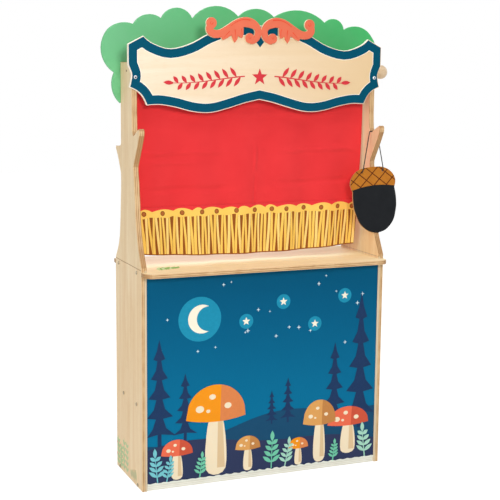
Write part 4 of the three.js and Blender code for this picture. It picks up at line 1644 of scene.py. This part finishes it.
@dataclass
class Curtain:
    """Red curtain on a roller, with a gold hem band."""

    half_width: float = 342.5
    # Width of the cloth as cut, which its folds take up
    flat_width: float = 686.0
    roller_y: float = 5.0
    roller_z: float = 1133.0
    roll_radius: float = 12.9
    rod_radius: float = 8.3
    # Turns of cloth on the rod, points for each turn and thickness of the wound cloth
    roll_turns: int = 6
    roll_steps: int = 36
    roll_wall: float = 0.55
    knob_centre: float = 405.5
    knob_radius: float = 20.0
    knob_flat: float = 17.0
    knob_sides: int = 48
    knob_steps: int = 22
    cloth_y: float = -9.3
    cloth_low: float = 759.0
    thickness: float = 0.7
    fold_depth: float = 5.0
    fold_count: int = 5
    hem_height: float = 623.0
    hem_rise: float = 12.0
    band_top: float = 765.0
    # Heights of the fringe's ground, its strands' heads, the gold's lower edge, its scallops and its buttons
    fringe_top: float = 744.0
    strand_top: float = 741.0
    gold_low: float = 736.0
    gold_ripple: float = 2.5
    scallop_foot: float = 752.0
    # Least rise of a scallop, and how much more the highest has
    scallop_rise: Flat = (6.0, 2.5)
    button_height: float = 747.0
    # Radius, height over the cloth and ink of a button's ring and of its middle
    button_layers: tuple[tuple[float, float, BandInk], ...] = ((6.9, 0.44, BandInk.RING), (4.9, 0.5, BandInk.BUTTON))
    # Heights over the cloth of the fringe's ground, the lowest strands and the scalloped gold
    film: Spot = (0.1, 0.17, 0.38)
    columns: int = 230
    rows: int = 120
    band_columns: int = 228
    strand_count: int = 65
    # Least and greatest lean, width at the foot and width at the head of a strand
    strand_lean: Flat = (0.5, 7.5)
    strand_foot: Flat = (6.6, 9.4)
    strand_head: Flat = (5.2, 8.0)
    strand_steps: int = 12
    # How far a strand's brown outline reaches past it, its foot over the hem, its sway and its gap to the side edges
    outline: float = 0.9
    strand_rise: float = 3.2
    strand_sway: float = 0.7
    strand_gap: float = 0.3
    # How far the cloth lies behind the band where they lap, and up to which height it ends up there
    lap: float = 1.7
    clear_top: float = 872.0
    # Travel of the joint that raises the band
    lift: float = 340.0
    # How much narrower the cloth hangs at its hem than at the roller, on each side, and how late that comes
    draw_in: float = 21.0
    draw_power: float = 2.4
    # Widths of the scallops along the band's upper edge, from the left
    scallops: tuple[float, ...] = (34.5, 67, 54.5, 32.5, 61, 48, 37, 50, 35, 64, 51, 64, 60, 26.5)
    # Places of the buttons across the band
    buttons: tuple[float, ...] = (-331, -275, -216, -157, -110, -51, 8, 62, 107, 166, 221, 277, 326)
    # Soft noise of the cloth: how deep, how wide, how high, and which slice of the noise
    ripples: tuple[tuple[float, float, float, float], ...] = ((1.6, 110.0, 38.0, 3.1), (0.5, 34.0, 16.0, 8.7))
    # Crease down the middle: its depth, place across, width and top
    middle_crease: tuple[float, float, float, float] = (3.0, 7.0, 4.0, 940.0)
    # Lengths over which the creases fade out by height, at their own ends and by the cloth's side edges
    fade: float = 40.0
    crease_end: float = 60.0
    side_fade: float = 12.0
    # Packing creases: height, how deep, how wide, from and to across
    creases: tuple[tuple[float, float, float, float, float], ...] = (
        (912.0, 4.2, 7.0, -342.0, -60.0),
        (884.0, 3.0, 7.0, -342.0, -140.0),
        (810.0, 4.0, 9.0, -342.0, -40.0),
        (913.0, 4.2, 7.0, 60.0, 342.0),
        (822.0, 4.2, 9.0, 40.0, 342.0),
        (1017.0, 3.0, 9.0, -300.0, 300.0),
    )

    def across(self, columns: int) -> list[float]:
        """Gives places from the cloth's left edge to its right one."""
        return [-self.half_width + 2 * self.half_width * k / columns for k in range(columns + 1)]

    def hem(self, u: float) -> float:
        """Gives the height of the hem."""
        return self.hem_height + self.hem_rise * (u / self.half_width) ** 2

    def drop(self, v: float) -> float:
        """Gives how far down from the roller a height is, as a share of the way to the hem."""
        return (self.roller_z - v) / (self.roller_z - self.hem_height)

    def place(self, u: float, v: float, height: float) -> Vector:
        """Gives a point of the cloth, which is folded and draws in towards the hem.

        Args:
            u: Place across.
            v: Height over the floor.
            height: How far in front of the cloth's middle.

        Returns:
            The point in metres.
        """
        fold = self.fold_depth * self.drop(v) * math.sin(math.pi * self.fold_count * u / self.half_width)
        narrow = 1 - self.draw_in / self.half_width * max(self.drop(v), 0.0) ** self.draw_power
        return Vector((u * narrow, self.cloth_y + fold - height, v)) * MM

    def crumple(self, u: float, v: float) -> float:
        """Gives the small creases of cloth that was packed flat.

        Args:
            u: Place across.
            v: Height over the floor.

        Returns:
            How far the cloth stands forward there, in mm.
        """
        soft = sum(depth * noise.noise(Vector((u / wide, v / high, z))) for depth, wide, high, z in self.ripples)
        for height, depth, width, start, end in self.creases:
            wander = 5 * noise.noise(Vector((u / 80, height, 1.3)))
            along = clamp((u - start) / self.crease_end) * clamp((end - u) / self.crease_end)
            soft += depth * along * math.exp(-(((v - height - wander) / width) ** 2))
        depth, centre, width, top = self.middle_crease
        wander = 2 * noise.noise(Vector((v / 60, 0.4, 9.0)))
        soft += depth * math.exp(-(((u - centre - wander) / width) ** 2)) * clamp((top - v) / self.fade)
        ends = min((self.half_width - abs(u)) / self.side_fade, 1) * clamp((self.roller_z - v) / self.fade)
        # The raised band hangs in front of the lowest cloth, so this only creases to the back
        behind = clamp((self.clear_top - v) / self.fade)
        soft -= behind * (soft + abs(soft))
        return soft * ends - self.lap * behind

    def cloth(self) -> None:
        """Hangs the red cloth from the roller to a lap behind the band."""
        low, high = self.cloth_low, self.roller_z
        heights = [low + (high - low) * k / self.rows for k in range(self.rows + 1)]
        rows = [[(u, v) for u in self.across(self.columns)] for v in heights]
        half = self.thickness / 2
        mesh = bmesh.new()
        add_sheet(mesh, rows, lambda u, v, h: self.place(u, v, h + self.crumple(u, v)), (-half, half))
        piece = finish_mesh(mesh, "red_curtain", [self.red()], smooth=True)
        keep(piece, "stand", "red_cloth", "curtain_cloth")
        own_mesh(piece)

    def red(self) -> WovenCotton:
        """Gives the red cotton."""
        return WovenCotton("red_cotton", colour="#e43639", deep="#d92c30")

    def scallop(self, u: float) -> float:
        """Gives the gold's scalloped edge.

        Args:
            u: Place across.

        Returns:
            Height of the edge there.
        """
        left = -self.half_width
        for k, width in enumerate(self.scallops):
            if u <= left + width:
                break
            left += width
        rise = self.scallop_rise[0] + self.scallop_rise[1] * abs(math.sin(2.4 * k + 0.7))
        share = clamp((u - left) / width)
        return self.scallop_foot + rise * math.sin(math.pi * share ** (0.85 + 0.3 * (k % 2))) ** 0.8

    def ripple(self, u: float) -> float:
        """Gives the height of the gold's lower edge."""
        return self.gold_low + self.gold_ripple * math.sin(u / 7.3) * math.sin(u / 31)

    def grid(self, low: Callable[[float], float], high: Callable[[float], float], count: int) -> list[list[Flat]]:
        """Gives rows of points between two curves that run across the band."""
        across = self.across(self.band_columns)
        return [[(u, low(u) + (high(u) - low(u)) * k / count) for u in across] for k in range(count + 1)]

    def strands(self, mesh: bmesh.types.BMesh) -> None:
        """Prints the gold strands of the fringe, outlined wedges that lean together in pairs at the hem.

        Args:
            mesh: Mesh that they go into.
        """
        shapes = random.Random(11)
        edge, half = self.half_width, self.thickness / 2
        pitch = 2 * edge / self.strand_count
        for k in range(self.strand_count):
            u = -edge + (k + 0.5) * pitch + shapes.uniform(-0.8, 0.8)
            lean = shapes.uniform(*self.strand_lean) * (1 if k % 2 else -1)
            foot, head = shapes.uniform(*self.strand_foot), shapes.uniform(*self.strand_head)
            gold = BandInk.PALE_GOLD if k % 3 == 1 else BandInk.GOLD
            for margin, rise, ink in ((self.outline, 0.0, BandInk.BROWN), (0.0, 0.05, gold)):
                strand = []
                for share in (step / self.strand_steps for step in range(self.strand_steps + 1)):
                    reach = (foot + (head - foot) * share + 2 * margin) / 2
                    middle = u + lean * (share - 0.5) + self.strand_sway * math.sin(4 * share + k)
                    middle = clamp(middle, -edge + reach + self.strand_gap, edge - reach - self.strand_gap)
                    low = self.hem(middle) + self.strand_rise - margin
                    v = low + (self.strand_top - low) * share
                    strand.append([(middle + way * reach, v) for way in (-1, 0, 1)])
                top = half + self.film[1] + 0.1 * (k % 2) + rise
                add_sheet(mesh, strand, self.place, (half + self.film[0], top), ink)

    def band(self) -> None:
        """Hangs the hem band: red cloth with a gold fringe printed on it."""
        inks = {
            BandInk.GOLD: WovenCotton("gold_print_cotton", colour="#f8d06a", deep="#edbd50"),
            BandInk.BROWN: PrintInk("brown_fringe_ink", "#9c5c2a", "#86481d", rough=0.85),
            BandInk.BUTTON: PrintInk("button_ink", "#b06a3a", "#a5602f", rough=0.8),
            BandInk.RING: PrintInk("button_ring_ink", "#84481d", "#7b4119", rough=0.8),
            BandInk.PALE_GOLD: PrintInk("pale_gold_ink", "#fbdc8c", "#f3cd72", rough=0.85),
        }
        half = self.thickness / 2
        mesh = bmesh.new()
        add_sheet(mesh, self.grid(self.hem, lambda u: self.band_top, 14), self.place, (-half, half))
        cloth = finish_mesh(mesh, "hem_band_cloth", [self.red()], smooth=True)
        keep(cloth, "curtain_band", "red_cloth", "curtain_hem_band")
        mesh = bmesh.new()
        ground = self.grid(self.hem, lambda u: self.fringe_top, 12)
        add_sheet(mesh, ground, self.place, (half, half + self.film[0]), BandInk.BROWN)
        valley = self.grid(self.ripple, self.scallop, 3)
        add_sheet(mesh, valley, self.place, (half, half + self.film[2]), BandInk.GOLD)
        self.strands(mesh)
        for k, u in enumerate(self.buttons):
            centre = (u, self.button_height + 1.5 * math.sin(3.1 * k))
            for radius, layer, ink in self.button_layers:
                flat = Shapes.disc(centre, radius, 20)
                levels = (layer + half, half)
                front, back = ([mesh.verts.new(self.place(*p, height)) for p in flat] for height in levels)
                settle(mesh, [mesh.faces.new(front), mesh.faces.new(back[::-1]), *wall(mesh, front, back)], ink)
        fringe = finish_mesh(mesh, "gold_fringe_print", [inks[ink] for ink in BandInk])
        keep(fringe, "curtain_band", "gold_cloth")

    def ring(self, mesh: bmesh.types.BMesh, x: float, radii: Sequence[float], turn: int) -> list[bmesh.types.BMVert]:
        """Adds corners round the roller's axis, at steps of one part of a turn."""
        flat = Shapes.polar((self.roller_y, self.roller_z), radii, turn)
        return [mesh.verts.new(Vector((x, y, z)) * MM) for y, z in flat]

    def roll(self) -> None:
        """Winds the cloth on the rod as one spiral."""
        count = self.roll_turns * self.roll_steps
        lift = (self.roll_radius - self.roll_wall - self.rod_radius) / self.roll_turns
        inside = [self.rod_radius + lift * k / self.roll_steps for k in range(count + 1)]
        mesh = bmesh.new()
        skins = [
            [self.ring(mesh, x, [r + out for r in inside], self.roll_steps) for out in (0.0, self.roll_wall)]
            for x in (-self.half_width, self.half_width)
        ]
        left, right = skins
        for k in range(count):
            for side in (0, 1):
                mesh.faces.new([left[side][k], left[side][k + 1], right[side][k + 1], right[side][k]])
            for inner, outer in skins:
                mesh.faces.new([inner[k], outer[k], outer[k + 1], inner[k + 1]])
        for k in (0, count):
            mesh.faces.new([left[0][k], left[1][k], right[1][k], right[0][k]])
        bmesh.ops.recalc_face_normals(mesh, faces=mesh.faces)
        piece = finish_mesh(mesh, "wound_cloth", [self.red()], smooth=True)
        keep(piece, "roller", "red_cloth", "curtain_roll")

    def knob(self) -> None:
        """Turns the ball knob, flat where it meets the rod."""
        start = math.acos(self.knob_flat / self.knob_radius)
        angles = [start + (math.pi - start) * k / self.knob_steps for k in range(self.knob_steps)]
        profile = [(-self.knob_flat, self.rod_radius - 0.1)]
        profile += [(-self.knob_radius * math.cos(a), self.knob_radius * math.sin(a)) for a in angles]
        mesh = bmesh.new()
        sides = self.knob_sides
        loops = [self.ring(mesh, self.knob_centre + along, [radius] * sides, sides) for along, radius in profile]
        for low, high in zip(loops, loops[1:]):
            wall(mesh, low, high)
        tip = self.ring(mesh, self.knob_centre + self.knob_radius, [0.0], 1)[0]
        for k in range(sides):
            mesh.faces.new([loops[-1][k - 1], loops[-1][k], tip])
        mesh.faces.new(loops[0][::-1])
        bmesh.ops.recalc_face_normals(mesh, faces=mesh.faces)
        beech = TurnedBeech("turned_beech", light="#dcc6a8", dark="#c8a982")
        keep(finish_mesh(mesh, "ball_knob", [beech], smooth=True), "roller", "beech", "roller_knob")

    def build(self, nodes: Nodes) -> None:
        """Makes the curtain and dresses the rod.

        Args:
            nodes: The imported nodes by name.
        """
        for make in (self.cloth, self.roll, self.band, self.knob):
            make()
        dress(nodes, TurnedBeech("turned_beech_rod"), "roller_rod")
        dark = PlatedSteel("black_phosphated_steel", colour="#5b5752", deep="#3f3c38", rough=0.45)
        dress(nodes, dark, "roller_pivot_screw")


def report_size() -> None:
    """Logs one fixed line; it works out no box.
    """
    LOG.info("boxes written")


def main() -> None:
    """Builds the scene: camera and cord first, then each sub-assembly."""
    logging.basicConfig(level=logging.INFO, format="%(name)s: %(message)s")
    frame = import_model()
    nodes = frame["nodes"]
    studio = Studio()
    studio.camera()
    acorn = AcornBoard()
    acorn.cord()
    for part in (acorn, Cabinet(), Posts(), SignFront(), Canopy(), Curtain()):
        part.build(nodes)
    studio.floor()
    studio.light()
    report_size()


if __name__ == "__main__":
    main()
